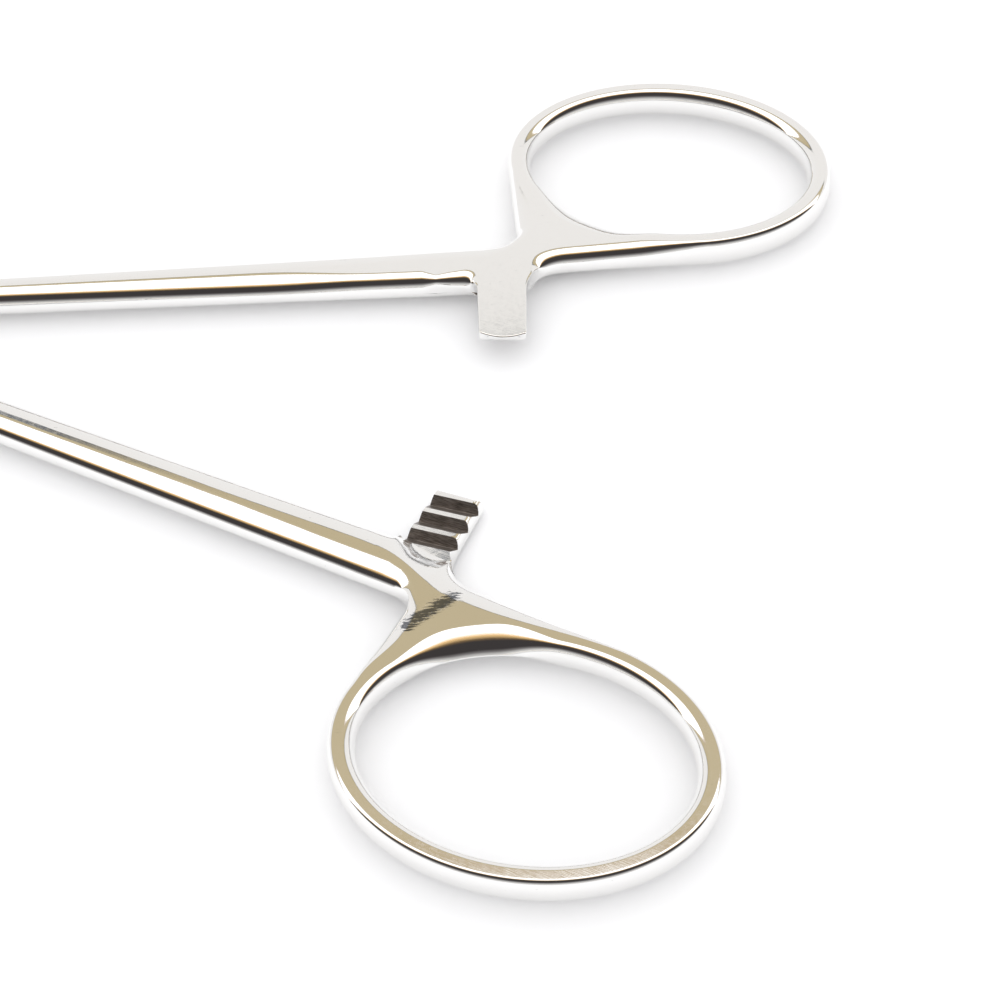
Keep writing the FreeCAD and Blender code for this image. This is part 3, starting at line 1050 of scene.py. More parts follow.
    def rounded(self, corner: Vector, known: dict, crest_level: int) -> tuple[float, float, float]:
        """Where a corner of the raised sheet goes on the rounded handle.

        Args:
            corner: Its place, with the levels of the sheet one gap apart.
            known: What is known of each point of the plan.
            crest_level: The number of the level where the bar's teeth start.

        Returns:
            Its new place.
        """
        half = self.shape.thickness / 2
        place = (corner.x, corner.y)
        point = self.find(known, place)
        level = round(-corner.z / self.level_gap)
        if level <= self.round_steps and not point.on_root:
            inset, drop = point.flush.at(1 - level / self.round_steps)
            move = point.flush_in * inset
            return place[0] + move.x, place[1] + move.y, half - drop
        if level <= self.round_steps:
            move = point.flush_in * point.flush.width
            return place[0] + move.x, place[1] + move.y, half
        if level <= crest_level:
            return self.bevelled(place, point, (level - self.round_steps) / self.bevel_steps)
        inset, drop = point.ramped.at((level - crest_level - 1) / self.round_steps)
        move = point.ramped_in * inset
        return place[0] + move.x, place[1] + move.y, -half + drop

    def bevelled(self, place: Point, point: PlanPoint, share: float) -> tuple[float, float, float]:
        """Where a corner goes between the foot of the flush rounding and the bar's crest.

        Args:
            place: Its place in plan.
            point: What is known of that place.
            share: How far down to the crest its level is, from 0 to 1.

        Returns:
            Its new place.
        """
        bar = self.bar
        if point.on_root:
            inset, _ = point.ramped.at(0)
            foot = (place[0] + point.ramped_in.x * inset, place[1] + point.ramped_in.y * inset)
            return foot[0], foot[1], bar.crest_height(foot)
        top = self.shape.thickness / 2 - point.flush.height
        if not point.on_bar:
            return place[0], place[1], mix(top, -top * self.bevel_foot, share)
        drawn = bar.bevelled(place, 1 - math.cos(math.pi / 2 * share))
        crest = bar.crest_height(drawn)
        fade = bar.bevel_fade.at(bar.local(place)[1])
        start = min(mix(crest + bar.bevel_height, top, fade), top)
        first = 1 / self.bevel_steps
        height = mix(start, crest, math.sin(math.pi / 2 * max(0.0, share - first) / (1 - first)))
        return drawn[0], drawn[1], height

    def find(self, known: dict, place: Point) -> PlanPoint:
        """Look a place up, allowing for rounding to a neighbouring key.

        Args:
            known: What is known of each point of the plan.
            place: The place.

        Returns:
            What is known of it.
        """
        base = self.key(place)
        for dx in (0, -1, 1):
            for dy in (0, -1, 1):
                found = known.get((base[0] + dx, base[1] + dy))
                if found is not None:
                    return found
        raise KeyError(f"no point of the plan at {place}")


@dataclass
class RatchetTeeth:
    """The grooves cut across the toothed side of a ratchet bar."""

    bar: BarShape = field(default_factory=BarShape)
    count: int = 3
    pitch: float = 1.9
    first: float = 0.63
    depth: float = 0.65
    face_run: float = 0.62
    valley_flat: float = 0.06
    land: float = 0.42
    turn: float = -0.055
    proud: float = 0.03
    half_length: float = 3.4
    side_margin: float = 0.4
    least_depth: float = 0.01
    least_facing: float = 0.25
    most_sideways: float = 0.15

    def cutter(self) -> bpy.types.Object:
        """All the grooves as one cutter, for a bar whose teeth point down.

        Returns:
            The cutter.
        """
        back_run = self.pitch - self.land - self.face_run - self.valley_flat
        stretch = (self.depth + self.proud) / self.depth
        valley = self.first + self.face_run
        mouth = (valley - self.face_run * stretch, valley + self.valley_flat + back_run * stretch)
        floor = (valley, valley + self.valley_flat)
        clear_selection()
        bpy.ops.mesh.primitive_cube_add(size=1.0, location=(0, 0, 0))
        groove = take_new("grooves")
        for vertex in groove.data.vertices:
            deep = vertex.co.z > 0
            near_tip = vertex.co.y < 0
            along = (floor if deep else mouth)[0 if near_tip else 1]
            across = math.copysign(self.half_length, vertex.co.x)
            vertex.co = (across, along, self.depth if deep else -self.proud)
        modifier = groove.modifiers.new("row", "ARRAY")
        modifier.count = self.count
        modifier.use_relative_offset = False
        modifier.use_constant_offset = True
        modifier.constant_offset_displace = (0, self.pitch, 0)
        pick(groove)
        bpy.ops.object.modifier_apply(modifier=modifier.name)
        for vertex in groove.data.vertices:
            place = self.bar.point(vertex.co.x, vertex.co.y + self.turn * vertex.co.x)
            vertex.co = (place[0], place[1], vertex.co.z + self.bar.crest_height(place))
        return groove

    def have_cut(self, polygon: bpy.types.MeshPolygon) -> bool:
        """Whether a face was cut by the grooves.

        Args:
            polygon: A face of the arm as it is modelled, with its teeth down.

        Returns:
            True if it lies in a groove.
        """
        lean = math.radians(self.bar.lean)
        centre, normal = polygon.center, polygon.normal
        across, along = self.bar.local((centre.x, centre.y))
        if abs(across) > self.bar.half_width + self.side_margin:
            return False
        sideways = normal.x * math.cos(lean) + normal.y * math.sin(lean)
        deep = centre.z > self.bar.crest_height((centre.x, centre.y)) + self.least_depth
        facing = normal.z < -self.least_facing and abs(sideways) < self.most_sideways
        return deep and facing and self.first < along < self.bar.crest_end


@dataclass
class Jaw:
    """A tapered jaw with a rounded back and grooves across its gripping face."""

    length: float = 46.5
    root_width: float = 3.0
    root_thickness: float = 3.5
    tip_width: float = 1.5
    tip_thickness: float = 2.1
    inner: float = 0.05
    back_round: float = 0.7
    back_steps: int = 8
    serrated_length: float = 30.0
    pitch: float = 1.0
    depth: float = 0.22
    groove_root: float = 0.02
    mouth_share: float = 1.75
    over_face: float = 0.75

    def build(self, shift: float) -> bpy.types.Object:
        """Make the jaw of the far arm, which lies below the X axis when shut.

        Args:
            shift: How far the grooves are shifted towards the tip.

        Returns:
            The jaw.
        """
        clear_selection()
        bpy.ops.mesh.primitive_cube_add(size=1.0, location=(0, 0, 0))
        jaw = take_new("jaw")
        for vertex in jaw.data.vertices:
            at_tip = vertex.co.x < 0
            width = self.tip_width if at_tip else self.root_width
            half = (self.tip_thickness if at_tip else self.root_thickness) / 2
            x = -self.length if at_tip else 0.0
            y = -self.inner - (width if vertex.co.y < 0 else 0.0)
            vertex.co = (x, y, math.copysign(half, vertex.co.z))
        back_at_tip = -self.inner - self.tip_width
        back_at_root = -self.inner - self.root_width

        def is_back(first: Vector, second: Vector) -> bool:
            """The two long edges of the back and the three edges of its tip."""
            at_tip = [abs(end.x + self.length) < TOUCH for end in (first, second)]
            on_back = [
                abs(end.y - (back_at_tip if tipped else back_at_root)) < TOUCH
                for end, tipped in zip((first, second), at_tip)
            ]
            long_edge = all(on_back) and any(at_tip) and not all(at_tip)
            return long_edge or all(at_tip) and any(on_back)

        select_edges(jaw, is_back)
        bpy.ops.mesh.bevel(
            offset=self.back_round, segments=self.back_steps, profile=0.5, clamp_overlap=True
        )
        bpy.ops.object.mode_set(mode="OBJECT")
        combine(jaw, self.grooves(shift), Cut.REMOVE, crossed=True)
        return jaw

    def grooves(self, shift: float) -> bpy.types.Object:
        """The row of grooves that is cut across the gripping face.

        Args:
            shift: How far it is shifted towards the tip.

        Returns:
            The row, as one cutter.
        """
        clear_selection()
        bpy.ops.mesh.primitive_cube_add(size=1.0, location=(0, 0, 0))
        row = take_new("serrations")
        half = self.pitch / 2
        middle = -self.length + self.serrated_length - shift - half
        face = -self.inner
        for vertex in row.data.vertices:
            deep = vertex.co.y < 0
            spread = self.groove_root if deep else self.mouth_share * half
            x = middle + math.copysign(spread, vertex.co.x)
            y = face - self.depth if deep else face + self.depth * self.over_face
            vertex.co = (x, y, math.copysign(self.root_thickness, vertex.co.z))
        pick(row)
        modifier = row.modifiers.new("row", "ARRAY")
        modifier.count = int(self.serrated_length / self.pitch) - 1
        modifier.use_relative_offset = False
        modifier.use_constant_offset = True
        modifier.constant_offset_displace = (-self.pitch, 0, 0)
        bpy.ops.object.modifier_apply(modifier=modifier.name)
        return row


@dataclass
class BoxLock:
    """The box lock: cheeks, slot, tongue and the hole for the rivet."""

    thickness: float = 3.8
    radius: float = 6.4
    width: float = 8.4
    rounding: float = 0.5
    tongue_radius: float = 3.7
    tongue_thickness: float = 1.4
    clearance: float = 0.05
    rivet_radius: float = 1.3
    rivet_clearance: float = 0.04
    half_gap: float = 0.05
    past_middle: float = 0.01
    steps: int = 160
    rim_steps: int = 6

    def disc(self, name: str, radius: float, low: float, high: float) -> bpy.types.Object:
        """A round blank about the rivet's axis, used as a cutter or built on.

        Args:
            name: Its name.
            radius: Its radius.
            low: The level of its underside.
            high: The level of its top.

        Returns:
            The blank.
        """
        clear_selection()
        bpy.ops.mesh.primitive_cylinder_add(
            vertices=self.steps, radius=radius, depth=high - low, location=(0, 0, (low + high) / 2)
        )
        blank = take_new(name)
        bpy.ops.object.transform_apply(location=True, rotation=False, scale=False)
        return blank

    def block(self, name: str, low: Point, high: Point, height: float) -> bpy.types.Object:
        """A square cutter centred on the lock's mid-plane.

        Args:
            name: Its name.
            low: Its lowest X and Y.
            high: Its highest X and Y.
            height: Its height.

        Returns:
            The cutter.
        """
        clear_selection()
        bpy.ops.mesh.primitive_cube_add(size=1.0, location=(0, 0, 0))
        blank = take_new(name)
        for vertex in blank.data.vertices:
            x = high[0] if vertex.co.x > 0 else low[0]
            y = high[1] if vertex.co.y > 0 else low[1]
            vertex.co = (x, y, math.copysign(height / 2, vertex.co.z))
        return blank

    def cheeks(self) -> bpy.types.Object:
        """The two cheeks as one block, before it is slotted.

        Returns:
            The block.
        """
        half = self.thickness / 2
        cheeks = self.disc("cheeks", self.radius, -half, half)
        for turn in (1, -1):
            select_faces(cheeks, lambda polygon: True)
            bpy.ops.mesh.bisect(
                plane_co=(0, turn * self.width / 2, 0),
                plane_no=(0, turn, 0),
                use_fill=True,
                clear_outer=True,
                threshold=CUT_TOUCH,
            )
            bpy.ops.object.mode_set(mode="OBJECT")

        def is_rim(first: Vector, second: Vector) -> bool:
            """The edges round the top and the underside."""
            return abs(abs(first.z) - half) < TOUCH and abs(first.z - second.z) < TOUCH

        select_edges(cheeks, is_rim)
        bpy.ops.mesh.bevel(
            offset=self.rounding, segments=self.rim_steps, profile=0.5, clamp_overlap=False
        )
        bpy.ops.object.mode_set(mode="OBJECT")
        return cheeks

    def make_box(self, arm: bpy.types.Object) -> None:
        """Give an arm its slotted cheeks.

        Args:
            arm: The handle and jaw, as one piece.
        """
        combine(arm, self.cheeks(), Cut.ADD)
        height = self.tongue_thickness + 2 * self.clearance
        reach = self.radius * 2
        edge = self.half_gap - self.past_middle
        shank_way = self.block("shank_way", (0.0, -reach), (reach, edge), height)
        jaw_way = self.block("jaw_way", (-reach, -edge), (0.0, reach), height)
        middle = self.disc("slot", self.tongue_radius + self.clearance, -height / 2, height / 2)
        for cutter in (shank_way, jaw_way, middle):
            combine(arm, cutter, Cut.REMOVE)
        self.drill(arm, self.rivet_radius)

    def make_tongue(self, arm: bpy.types.Object) -> None:
        """Thin an arm down to the tongue that passes through the slot.

        Args:
            arm: The handle and jaw, as one piece.
        """
        half = self.tongue_thickness / 2
        for low, high in ((half, self.thickness), (-self.thickness, -half)):
            shoulder = self.disc("shoulder", self.radius + self.clearance, low, high)
            combine(arm, shoulder, Cut.REMOVE)
        combine(arm, self.disc("tongue", self.tongue_radius, -half, half), Cut.ADD)
        self.drill(arm, self.rivet_radius + self.rivet_clearance)

    def drill(self, arm: bpy.types.Object, radius: float) -> None:
        """Drill the hole for the rivet."""
        drill = self.disc("drill", radius, -self.thickness, self.thickness)
        combine(arm, drill, Cut.REMOVE)


# Small tools for finishes


def new_finish(name: str) -> tuple[bpy.types.Material, bpy.types.Node]:
    """Start a material.

    Args:
        name: Its name.

    Returns:
        The material and its shader.
    """
    material = bpy.data.materials.new(name)
    material.use_nodes = True
    return material, material.node_tree.nodes["Principled BSDF"]


def object_place(tree: bpy.types.NodeTree) -> bpy.types.NodeSocket:
    """The object coordinates, which follow the steel when the arms move."""
    return tree.nodes.new("ShaderNodeTexCoord").outputs["Object"]


def add_noise(
    tree: bpy.types.NodeTree, place: bpy.types.NodeSocket, scale: float, detail: float
) -> bpy.types.Node:
    """Add noise to a material.

    Args:
        tree: The material's nodes.
        place: The coordinates.
        scale: How many times a metre it changes, if the coordinates are in metres.
        detail: How many finer layers it has.

    Returns:
        The noise node.
    """
    noise = tree.nodes.new("ShaderNodeTexNoise")
    noise.inputs["Scale"].default_value = scale
    noise.inputs["Detail"].default_value = detail
    tree.links.new(place, noise.inputs["Vector"])
    return noise


def vector_math(
    tree: bpy.types.NodeTree, operation: str, socket: bpy.types.NodeSocket, value: Vector
) -> bpy.types.Node:
    """Add a vector node that works on a socket and a fixed vector.

    Args:
        tree: The material's nodes.
        operation: What it does.
        socket: Its first value.
        value: Its second value.

    Returns:
        The node.
    """
    node = tree.nodes.new("ShaderNodeVectorMath")
    node.operation = operation
    tree.links.new(socket, node.inputs[0])
    node.inputs[1].default_value = value
    return node


def remap(
    tree: bpy.types.NodeTree, socket: bpy.types.NodeSocket, start: Point, end: Point
) -> bpy.types.NodeSocket:
    """Carry a value smoothly from one range to another one.

    Args:
        tree: The material's nodes.
        socket: The value.
        start: The range that it comes from.
        end: The range that it goes to.

    Returns:
        The new value.
    """
    node = tree.nodes.new("ShaderNodeMapRange")
    node.interpolation_type = "SMOOTHSTEP"
    node.inputs["From Min"].default_value = start[0]
    node.inputs["From Max"].default_value = start[1]
    node.inputs["To Min"].default_value = end[0]
    node.inputs["To Max"].default_value = end[1]
    tree.links.new(socket, node.inputs["Value"])
    return node.outputs["Result"]


def combine_values(
    tree: bpy.types.NodeTree,
    operation: str,
    first: bpy.types.NodeSocket,
    second: bpy.types.NodeSocket,
) -> bpy.types.NodeSocket:
    """Combine two values.

    Args:
        tree: The material's nodes.
        operation: How they are combined.
        first: The first value.
        second: The second value.

    Returns:
        The new value.
    """
    node = tree.nodes.new("ShaderNodeMath")
    node.operation = operation
    tree.links.new(first, node.inputs[0])
    tree.links.new(second, node.inputs[1])
    return node.outputs[0]


def mixed_colour(
    tree: bpy.types.NodeTree, share: bpy.types.NodeSocket, first: Colour, second: Colour
) -> bpy.types.NodeSocket:
    """Mix two colours.

    Args:
        tree: The material's nodes.
        share: How much there is of the second colour.
        first: The first colour.
        second: The second colour.

    Returns:
        The mixed colour.
    """
    node = tree.nodes.new("ShaderNodeMix")
    node.data_type = "RGBA"
    node.inputs[MIX_FIRST].default_value = (*first, 1.0)
    node.inputs[MIX_SECOND].default_value = (*second, 1.0)
    tree.links.new(share, node.inputs[0])
    return node.outputs[MIX_RESULT]


def add_bump(tree: bpy.types.NodeTree, shader: bpy.types.Node, height: bpy.types.NodeSocket) -> None:
    """Let a height in metres show in a material's shading.

    Args:
        tree: The material's nodes.
        shader: Its shader.
        height: The height.
    """
    bump = tree.nodes.new("ShaderNodeBump")
    bump.inputs["Distance"].default_value = 1.0
    tree.links.new(height, bump.inputs["Height"])
    tree.links.new(bump.outputs["Normal"], shader.inputs["Normal"])


@dataclass(frozen=True)
class BrushMarks:
    """Fine parallel marks that a brush or a wheel left in the steel."""

    turn: float
    length: float
    spacing: float
    height: float
    detail: ClassVar[float] = 4.0
    raggedness: ClassVar[float] = 0.65

    def add(self, tree: bpy.types.NodeTree, place: bpy.types.NodeSocket) -> bpy.types.NodeSocket:
        """Add the marks to a material.

        Args:
            tree: The material's nodes.
            place: The object coordinates.

        Returns:
            The height of the marks.
        """
        turned = tree.nodes.new("ShaderNodeVectorRotate")
        turned.rotation_type = "Z_AXIS"
        turned.inputs["Angle"].default_value = math.radians(self.turn)
        tree.links.new(place, turned.inputs["Vector"])
        stretch = Vector((1 / self.length, 1 / self.spacing, 1 / self.spacing))
        drawn = vector_math(tree, "MULTIPLY", turned.outputs["Vector"], stretch)
        marks = add_noise(tree, drawn.outputs[0], 1.0, self.detail)
        marks.inputs["Roughness"].default_value = self.raggedness
        height = tree.nodes.new("ShaderNodeMath")
        height.operation = "MULTIPLY"
        height.inputs[1].default_value = self.height
        tree.links.new(marks.outputs["Fac"], height.inputs[0])
        return height.outputs[0]


@dataclass(frozen=True)
class PolishedSteel:
    """Mirror-polished stainless steel, brushed along the crease between shank and ring, with painted
    shade darkening its colour beside the crease.
    """

    name: str = "polished_steel"
    colour: Colour = (0.90, 0.895, 0.885)
    roughness: float = 0.06
    roughness_spread: Point = (0.6, 1.5)
    grain_scale: float = 2600.0
    grain_detail: float = 3.0
    grain_range: Point = (0.2, 0.8)
    wave_scale: float = 420.0
    wave_detail: float = 2.0
    wave_height: float = 0.000003
    light_brush: BrushMarks = BrushMarks(14.0, 0.0022, 0.00009, 0.0000011)
    deep_brush: BrushMarks = BrushMarks(24.0, 0.0011, 0.00012, 0.000008)
    brushed_width: float = 0.0022
    crease_start: Place = (0.0662, -0.0222, 0.0033)
    crease_end: Place = (0.0690, -0.0190, 0.0033)
    crease_width: float = 0.00075
    crease_depth: float = 0.000016
    # Painted shade: this dark colour is mixed into the steel beside the crease, in streaks along the
    # brush marks, to stand in for the shade there
    painted_crease_shade: Colour = (0.10, 0.11, 0.13)
    crease_shade_streaks: BrushMarks = BrushMarks(-16.0, 0.0010, 0.00013, 1.0)
    crease_shade_reach: Point = (0.0001, 0.0011)
    crease_shade_lift: Point = (0.16, -0.14)
    crease_shade_range: Point = (0.55, 0.63)
    crease_shade_strength: float = 0.9

    def near_crease(self, tree: bpy.types.NodeTree, place: bpy.types.NodeSocket) -> bpy.types.NodeSocket:
        """Distance of the surface from the crease.

        Args:
            tree: The material's nodes.
            place: The object coordinates.

        Returns:
            The distance in metres.
        """
        start, end = Vector(self.crease_start), Vector(self.crease_end)
        along = end - start
        from_start = vector_math(tree, "SUBTRACT", place, start).outputs[0]
        share = vector_math(tree, "DOT_PRODUCT", from_start, along / along.length_squared)
        kept = tree.nodes.new("ShaderNodeClamp")
        tree.links.new(share.outputs["Value"], kept.inputs["Value"])
        foot = tree.nodes.new("ShaderNodeVectorMath")
        foot.operation = "SCALE"
        foot.inputs[0].default_value = along
        tree.links.new(kept.outputs[0], foot.inputs["Scale"])
        gap = tree.nodes.new("ShaderNodeVectorMath")
        gap.operation = "DISTANCE"
        tree.links.new(from_start, gap.inputs[0])
        tree.links.new(foot.outputs[0], gap.inputs[1])
        return gap.outputs["Value"]

    def shine(self, tree: bpy.types.NodeTree, place: bpy.types.NodeSocket) -> bpy.types.NodeSocket:
        """How rough the steel is from place to place.

        Args:
            tree: The material's nodes.
            place: The object coordinates.

        Returns:
            The roughness.
        """
        grain = add_noise(tree, place, self.grain_scale, self.grain_detail)
        least, most = self.roughness_spread
        spread = (self.roughness * least, self.roughness * most)
        return remap(tree, grain.outputs["Fac"], self.grain_range, spread)

    def surface(
        self, tree: bpy.types.NodeTree, place: bpy.types.NodeSocket, distance: bpy.types.NodeSocket
    ) -> bpy.types.NodeSocket:
        """Waves, brush marks and crease of the surface.

        Args:
            tree: The material's nodes.
            place: The object coordinates.
            distance: How far the surface is from the crease.

        Returns:
            Their height together.
        """
        wave = add_noise(tree, place, self.wave_scale, self.wave_detail)
        height = remap(tree, wave.outputs["Fac"], (0.0, 1.0), (0.0, self.wave_height))
        light_marks = self.light_brush.add(tree, place)
        brushed = remap(tree, distance, (0.0, self.brushed_width), (1.0, 0.0))
        deep_marks = combine_values(tree, "MULTIPLY", brushed, self.deep_brush.add(tree, place))
        crease = remap(tree, distance, (0.0, self.crease_width), (-self.crease_depth, 0.0))
        for part in (light_marks, deep_marks, crease):
            height = combine_values(tree, "ADD", height, part)
        return height

    def tone(
        self, tree: bpy.types.NodeTree, place: bpy.types.NodeSocket, distance: bpy.types.NodeSocket
    ) -> bpy.types.NodeSocket:
        """Colour of the steel, darkened beside the crease by painted shade in streaks that follow the
        brush marks.

        Args:
            tree: The material's nodes.
            place: The object coordinates.
            distance: How far the surface is from the crease.

        Returns:
            The colour.
        """
        # Painted shade: the mask is strongest near the crease and follows the streaks of the brush marks
        crease_shade_nearness = remap(tree, distance, self.crease_shade_reach, self.crease_shade_lift)
        crease_shade_mask = combine_values(tree, "ADD", self.crease_shade_streaks.add(tree, place), crease_shade_nearness)
        crease_shade_mask = remap(tree, crease_shade_mask, self.crease_shade_range, (0.0, self.crease_shade_strength))
        return mixed_colour(tree, crease_shade_mask, self.colour, self.painted_crease_shade)

    def material(self) -> bpy.types.Material:
        """Build the finish.

        Returns:
            The material.
        """
        material, shader = new_finish(self.name)
        tree = material.node_tree
        shader.inputs["Base Color"].default_value = (*self.colour, 1.0)
        shader.inputs["Metallic"].default_value = 1.0
        place = object_place(tree)
        distance = self.near_crease(tree, place)
        tree.links.new(self.shine(tree, place), shader.inputs["Roughness"])
        tree.links.new(self.tone(tree, place, distance), shader.inputs["Base Color"])
        add_bump(tree, shader, self.surface(tree, place, distance))
        return material


@dataclass(frozen=True)
class CutSteelShaded:
    """Bare steel as the cutter left it, streaked along the cut, and darkened with painted shade that
    stands in for the shade in the grooves.
    """

    name: str = "cut_steel_shaded"
    # Painted shade: both colours are kept dark to stand in for the shade that falls in the grooves; the
    # streaks between them are the cut's own marks
    dark: Colour = (0.095, 0.084, 0.077)
    light: Colour = (0.46, 0.42, 0.40)
    dark_at: float = 0.32
    light_at: float = 0.74
    roughness: float = 0.42
    streaks: BrushMarks = BrushMarks(11.0, 0.0016, 0.00007, 1.0)
    marks: BrushMarks = BrushMarks(11.0, 0.0016, 0.00007, 0.00001)

    def material(self) -> bpy.types.Material:
        """Build the finish.

        Returns:
            The material.
        """
        material, shader = new_finish(self.name)
        tree = material.node_tree
        shader.inputs["Metallic"].default_value = 1.0
        shader.inputs["Roughness"].default_value = self.roughness
        place = object_place(tree)
        tone = tree.nodes.new("ShaderNodeValToRGB")
        ends = ((self.dark_at, self.dark), (self.light_at, self.light))
        for element, (position, colour) in zip(tone.color_ramp.elements, ends):
            element.position = position
            element.color = (*colour, 1.0)
        tree.links.new(self.streaks.add(tree, place), tone.inputs[0])
        tree.links.new(tone.outputs["Color"], shader.inputs["Base Color"])
        add_bump(tree, shader, self.marks.add(tree, place))
        return material


@dataclass(frozen=True)
class StudioFloor:
    """The matt white sheet that the forceps lie on."""

    name: str = "white_sheet"
    colour: Colour = (0.93, 0.93, 0.935)
    roughness: float = 0.9
    fibre_scale: float = 900.0
    fibre_detail: float = 2.0
    fibre_shade: float = 0.995

    def material(self) -> bpy.types.Material:
        """Build the finish.

        Returns:
            The material.
        """
        material, shader = new_finish(self.name)
        tree = material.node_tree
        shader.inputs["Roughness"].default_value = self.roughness
        shader.inputs["Specular IOR Level"].default_value = 0.0
        fibre = add_noise(tree, object_place(tree), self.fibre_scale, self.fibre_detail)
        red, green, blue = (level * self.fibre_shade for level in self.colour)
        tone = mixed_colour(tree, fibre.outputs["Fac"], self.colour, (red, green, blue))
        tree.links.new(tone, shader.inputs["Base Color"])
        return material


@dataclass
class Arm:
    """One forged arm of the forceps, from finger ring to jaw tip."""

    node: str
    body: str
    side: Side
    half_opening: float = 9.2
    handle: Handle = field(default_factory=Handle)
    teeth: RatchetTeeth = field(default_factory=RatchetTeeth)
    jaw: Jaw = field(default_factory=Jaw)
    lock: BoxLock = field(default_factory=BoxLock)
    smooth_angle: float = 32.0
    flat_weight: int = 70

    def build(self, finishes: list[bpy.types.Material]) -> bpy.types.Object:
        """Model the arm and put it where the frame has it.

        Args:
            finishes: The polished steel and the cut steel with painted shade.

        Returns:
            The arm.
        """
        arm = self.handle.build()
        combine(arm, self.teeth.cutter(), Cut.REMOVE)
        shift = self.jaw.pitch / 2 if self.side is Side.FAR else 0.0
        combine(arm, self.jaw.build(shift), Cut.ADD)
        if self.side is Side.NEAR:
            self.lock.make_box(arm)
        else:
            self.lock.make_tongue(arm)
        arm.name = self.node + "_forged"
        arm.data.name = arm.name
        self.smooth(arm)
        arm.data.materials.clear()
        for finish in finishes:
            arm.data.materials.append(finish)
        self.mark_grooves(arm)
        self.place(arm)
        return arm

    def smooth(self, arm: bpy.types.Object) -> None:
        """Shade the roundings smooth and keep the flats flat.

        Args:
            arm: The arm.
        """
        pick(arm)
        bpy.ops.object.shade_smooth_by_angle(angle=math.radians(self.smooth_angle))
        modifier = arm.modifiers.new("flats", "WEIGHTED_NORMAL")
        modifier.mode = "FACE_AREA"
        modifier.weight = self.flat_weight
        modifier.keep_sharp = True
        bpy.ops.object.modifier_apply(modifier=modifier.name)

    def place(self, arm: bpy.types.Object) -> None:
        """Turn the arm over if it is the near one, open it, lift it and scale it.

        Args:
            arm: The arm.
        """
        turn_over = Matrix.Rotation(math.pi, 4, "X") if self.side is Side.NEAR else Matrix.Identity(4)
        opened = Matrix.Rotation(math.radians(self.half_opening * self.side.value), 4, "Z")
        lift = Matrix.Translation((0, 0, self.lock.thickness / 2))
        arm.matrix_world = Matrix.Scale(MM, 4) @ lift @ opened @ turn_over
        pick(arm)
        bpy.ops.object.transform_apply(location=True, rotation=True, scale=True)

    def mark_grooves(self, arm: bpy.types.Object) -> None:
        """Give the cut faces of the teeth their own material slot, the cut steel with painted shade.

        Args:
            arm: The arm, before it is placed.
        """
        for polygon in arm.data.polygons:
            if self.teeth.have_cut(polygon):
                polygon.material_index = 1

    def dress(self, arm: bpy.types.Object) -> None:
        """Give the arm its body and hide the node that it stands for.

        Args:
            arm: The arm.
        """
        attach(arm, self.body)
        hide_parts(self.node)


@dataclass(frozen=True)
class Band:
    """A colour of the studio, so many degrees up from the horizon ahead of the camera."""

    degrees: float
    colour: Colour


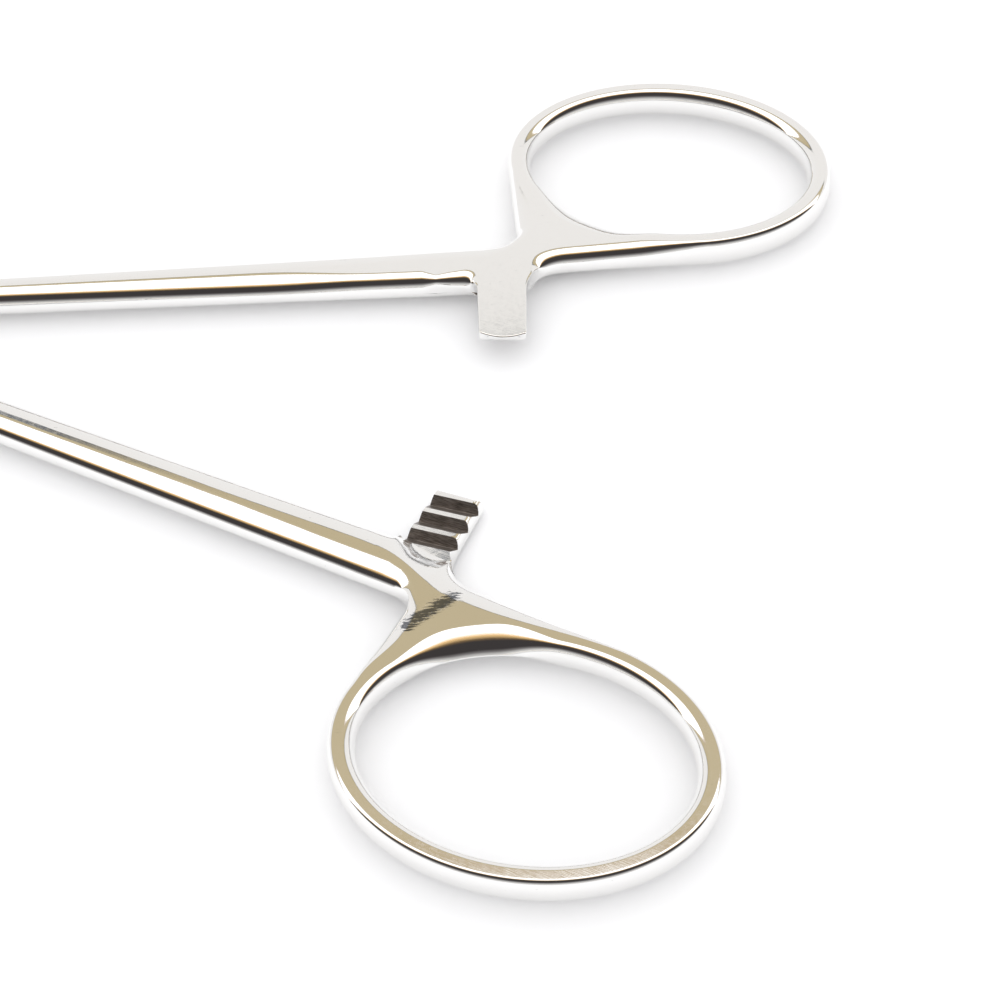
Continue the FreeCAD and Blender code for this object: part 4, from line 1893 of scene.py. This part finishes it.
@dataclass
class Studio:
    """Floor, light and camera."""

    floor_size: float = 6.0
    soft_light: Colour = (1.25, 1.25, 1.26)
    bands: tuple[Band, ...] = (
        Band(0, (0.95, 0.94, 0.93)),
        Band(44, (0.93, 0.91, 0.89)),
        Band(47.1, (0.91, 0.89, 0.86)),
        Band(47.6, (0.10, 0.12, 0.15)),
        Band(48.9, (0.10, 0.12, 0.15)),
        Band(49.4, (0.56, 0.47, 0.30)),
        Band(60.5, (0.60, 0.51, 0.34)),
        Band(61.5, (0.42, 0.28, 0.14)),
        Band(62.5, (1.5, 1.5, 1.5)),
        Band(104, (1.5, 1.5, 1.5)),
        Band(110, (1.0, 0.66, 0.30)),
        Band(118, (0.16, 0.11, 0.06)),
        Band(123, (0.05, 0.045, 0.045)),
        Band(150, (0.05, 0.045, 0.045)),
        Band(160, (0.20, 0.19, 0.19)),
        Band(172, (0.62, 0.61, 0.60)),
        Band(180, (0.80, 0.79, 0.78)),
    )
    heading: Point = (-0.27309, 0.96199)
    camera_place: Place = (0.09804, -0.10629, 0.12891)
    camera_aim: Place = (-0.1709, 0.6019, -0.7801)
    camera_roll: float = -4.51
    lens: float = 74.6
    sensor_width: float = 36.0
    nearest: float = 0.005
    farthest: float = 50.0

    def lay_floor(self) -> None:
        """Lay the white sheet under the forceps."""
        clear_selection()
        bpy.ops.mesh.primitive_plane_add(size=self.floor_size, location=(0, 0, 0))
        floor = take_new("floor_sheet")
        floor.data.materials.append(StudioFloor().material())

    def height_share(self, tree: bpy.types.NodeTree) -> bpy.types.NodeSocket:
        """How high a direction is, from the horizon ahead (0) over to the one behind (1).

        Args:
            tree: The world's nodes.

        Returns:
            The share of half a turn.
        """
        place = tree.nodes.new("ShaderNodeTexCoord").outputs["Generated"]
        ahead = vector_math(tree, "DOT_PRODUCT", place, Vector((*self.heading, 0.0)))
        split = tree.nodes.new("ShaderNodeSeparateXYZ")
        tree.links.new(place, split.inputs[0])
        turn = combine_values(tree, "ARCTAN2", split.outputs["Z"], ahead.outputs["Value"])
        share = tree.nodes.new("ShaderNodeMath")
        share.operation = "DIVIDE"
        share.inputs[1].default_value = math.pi
        tree.links.new(turn, share.inputs[0])
        return share.outputs[0]

    def light(self) -> None:
        """Surround the forceps with softboxes, walls and the dark behind the camera."""
        world = bpy.data.worlds.new("studio")
        bpy.context.scene.world = world
        world.use_nodes = True
        tree = world.node_tree
        background = tree.nodes["Background"]
        ramp = tree.nodes.new("ShaderNodeValToRGB")
        tree.links.new(self.height_share(tree), ramp.inputs[0])
        ramp.color_ramp.interpolation = "LINEAR"
        elements = ramp.color_ramp.elements
        for index, band in enumerate(self.bands):
            element = elements[index] if index < 2 else elements.new(band.degrees / 180)
            element.position = band.degrees / 180
            element.color = (*band.colour, 1.0)
        path = tree.nodes.new("ShaderNodeLightPath")
        soft = tree.nodes.new("ShaderNodeMix")
        soft.data_type = "RGBA"
        soft.inputs[MIX_SECOND].default_value = (*self.soft_light, 1.0)
        tree.links.new(path.outputs["Is Diffuse Ray"], soft.inputs[0])
        tree.links.new(ramp.outputs["Color"], soft.inputs[MIX_FIRST])
        tree.links.new(soft.outputs[MIX_RESULT], background.inputs["Color"])
        background.inputs["Strength"].default_value = 1.0
        bpy.context.scene.view_settings.view_transform = "Standard"

    def stand_camera(self) -> None:
        """Stand the camera where the photograph was taken from."""
        clear_selection()
        bpy.ops.object.camera_add(location=self.camera_place)
        camera = bpy.context.object
        camera.name = "camera"
        facing = Vector(self.camera_aim).to_track_quat("-Z", "Y").to_matrix().to_4x4()
        roll = Matrix.Rotation(math.radians(self.camera_roll), 4, "Z")
        camera.matrix_world = Matrix.Translation(self.camera_place) @ facing @ roll
        camera.data.sensor_width = self.sensor_width
        camera.data.lens = self.lens
        camera.data.clip_start = self.nearest
        camera.data.clip_end = self.farthest
        bpy.context.scene.camera = camera


def main() -> None:
    """Load the frame, build and dress each piece, and set the studio up."""
    logging.basicConfig(level=logging.INFO, format="%(message)s")
    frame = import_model()
    steel = PolishedSteel().material()
    # The second finish darkens the grooves with painted shade
    finishes = [steel, CutSteelShaded().material()]
    arms = [
        Arm(node="box_arm", body="box_body", side=Side.NEAR),
        Arm(node="slip_arm", body="slip_body", side=Side.FAR),
    ]
    for arm in arms:
        piece = arm.build(finishes)
        arm.dress(piece)
        LOG.info("%s: %d faces", piece.name, len(piece.data.polygons))
    rivet = frame["nodes"]["pivot_rivet"]
    rivet.data.materials.clear()
    rivet.data.materials.append(steel)
    studio = Studio()
    studio.lay_floor()
    studio.light()
    studio.stand_camera()


if __name__ == "__main__":
    main()
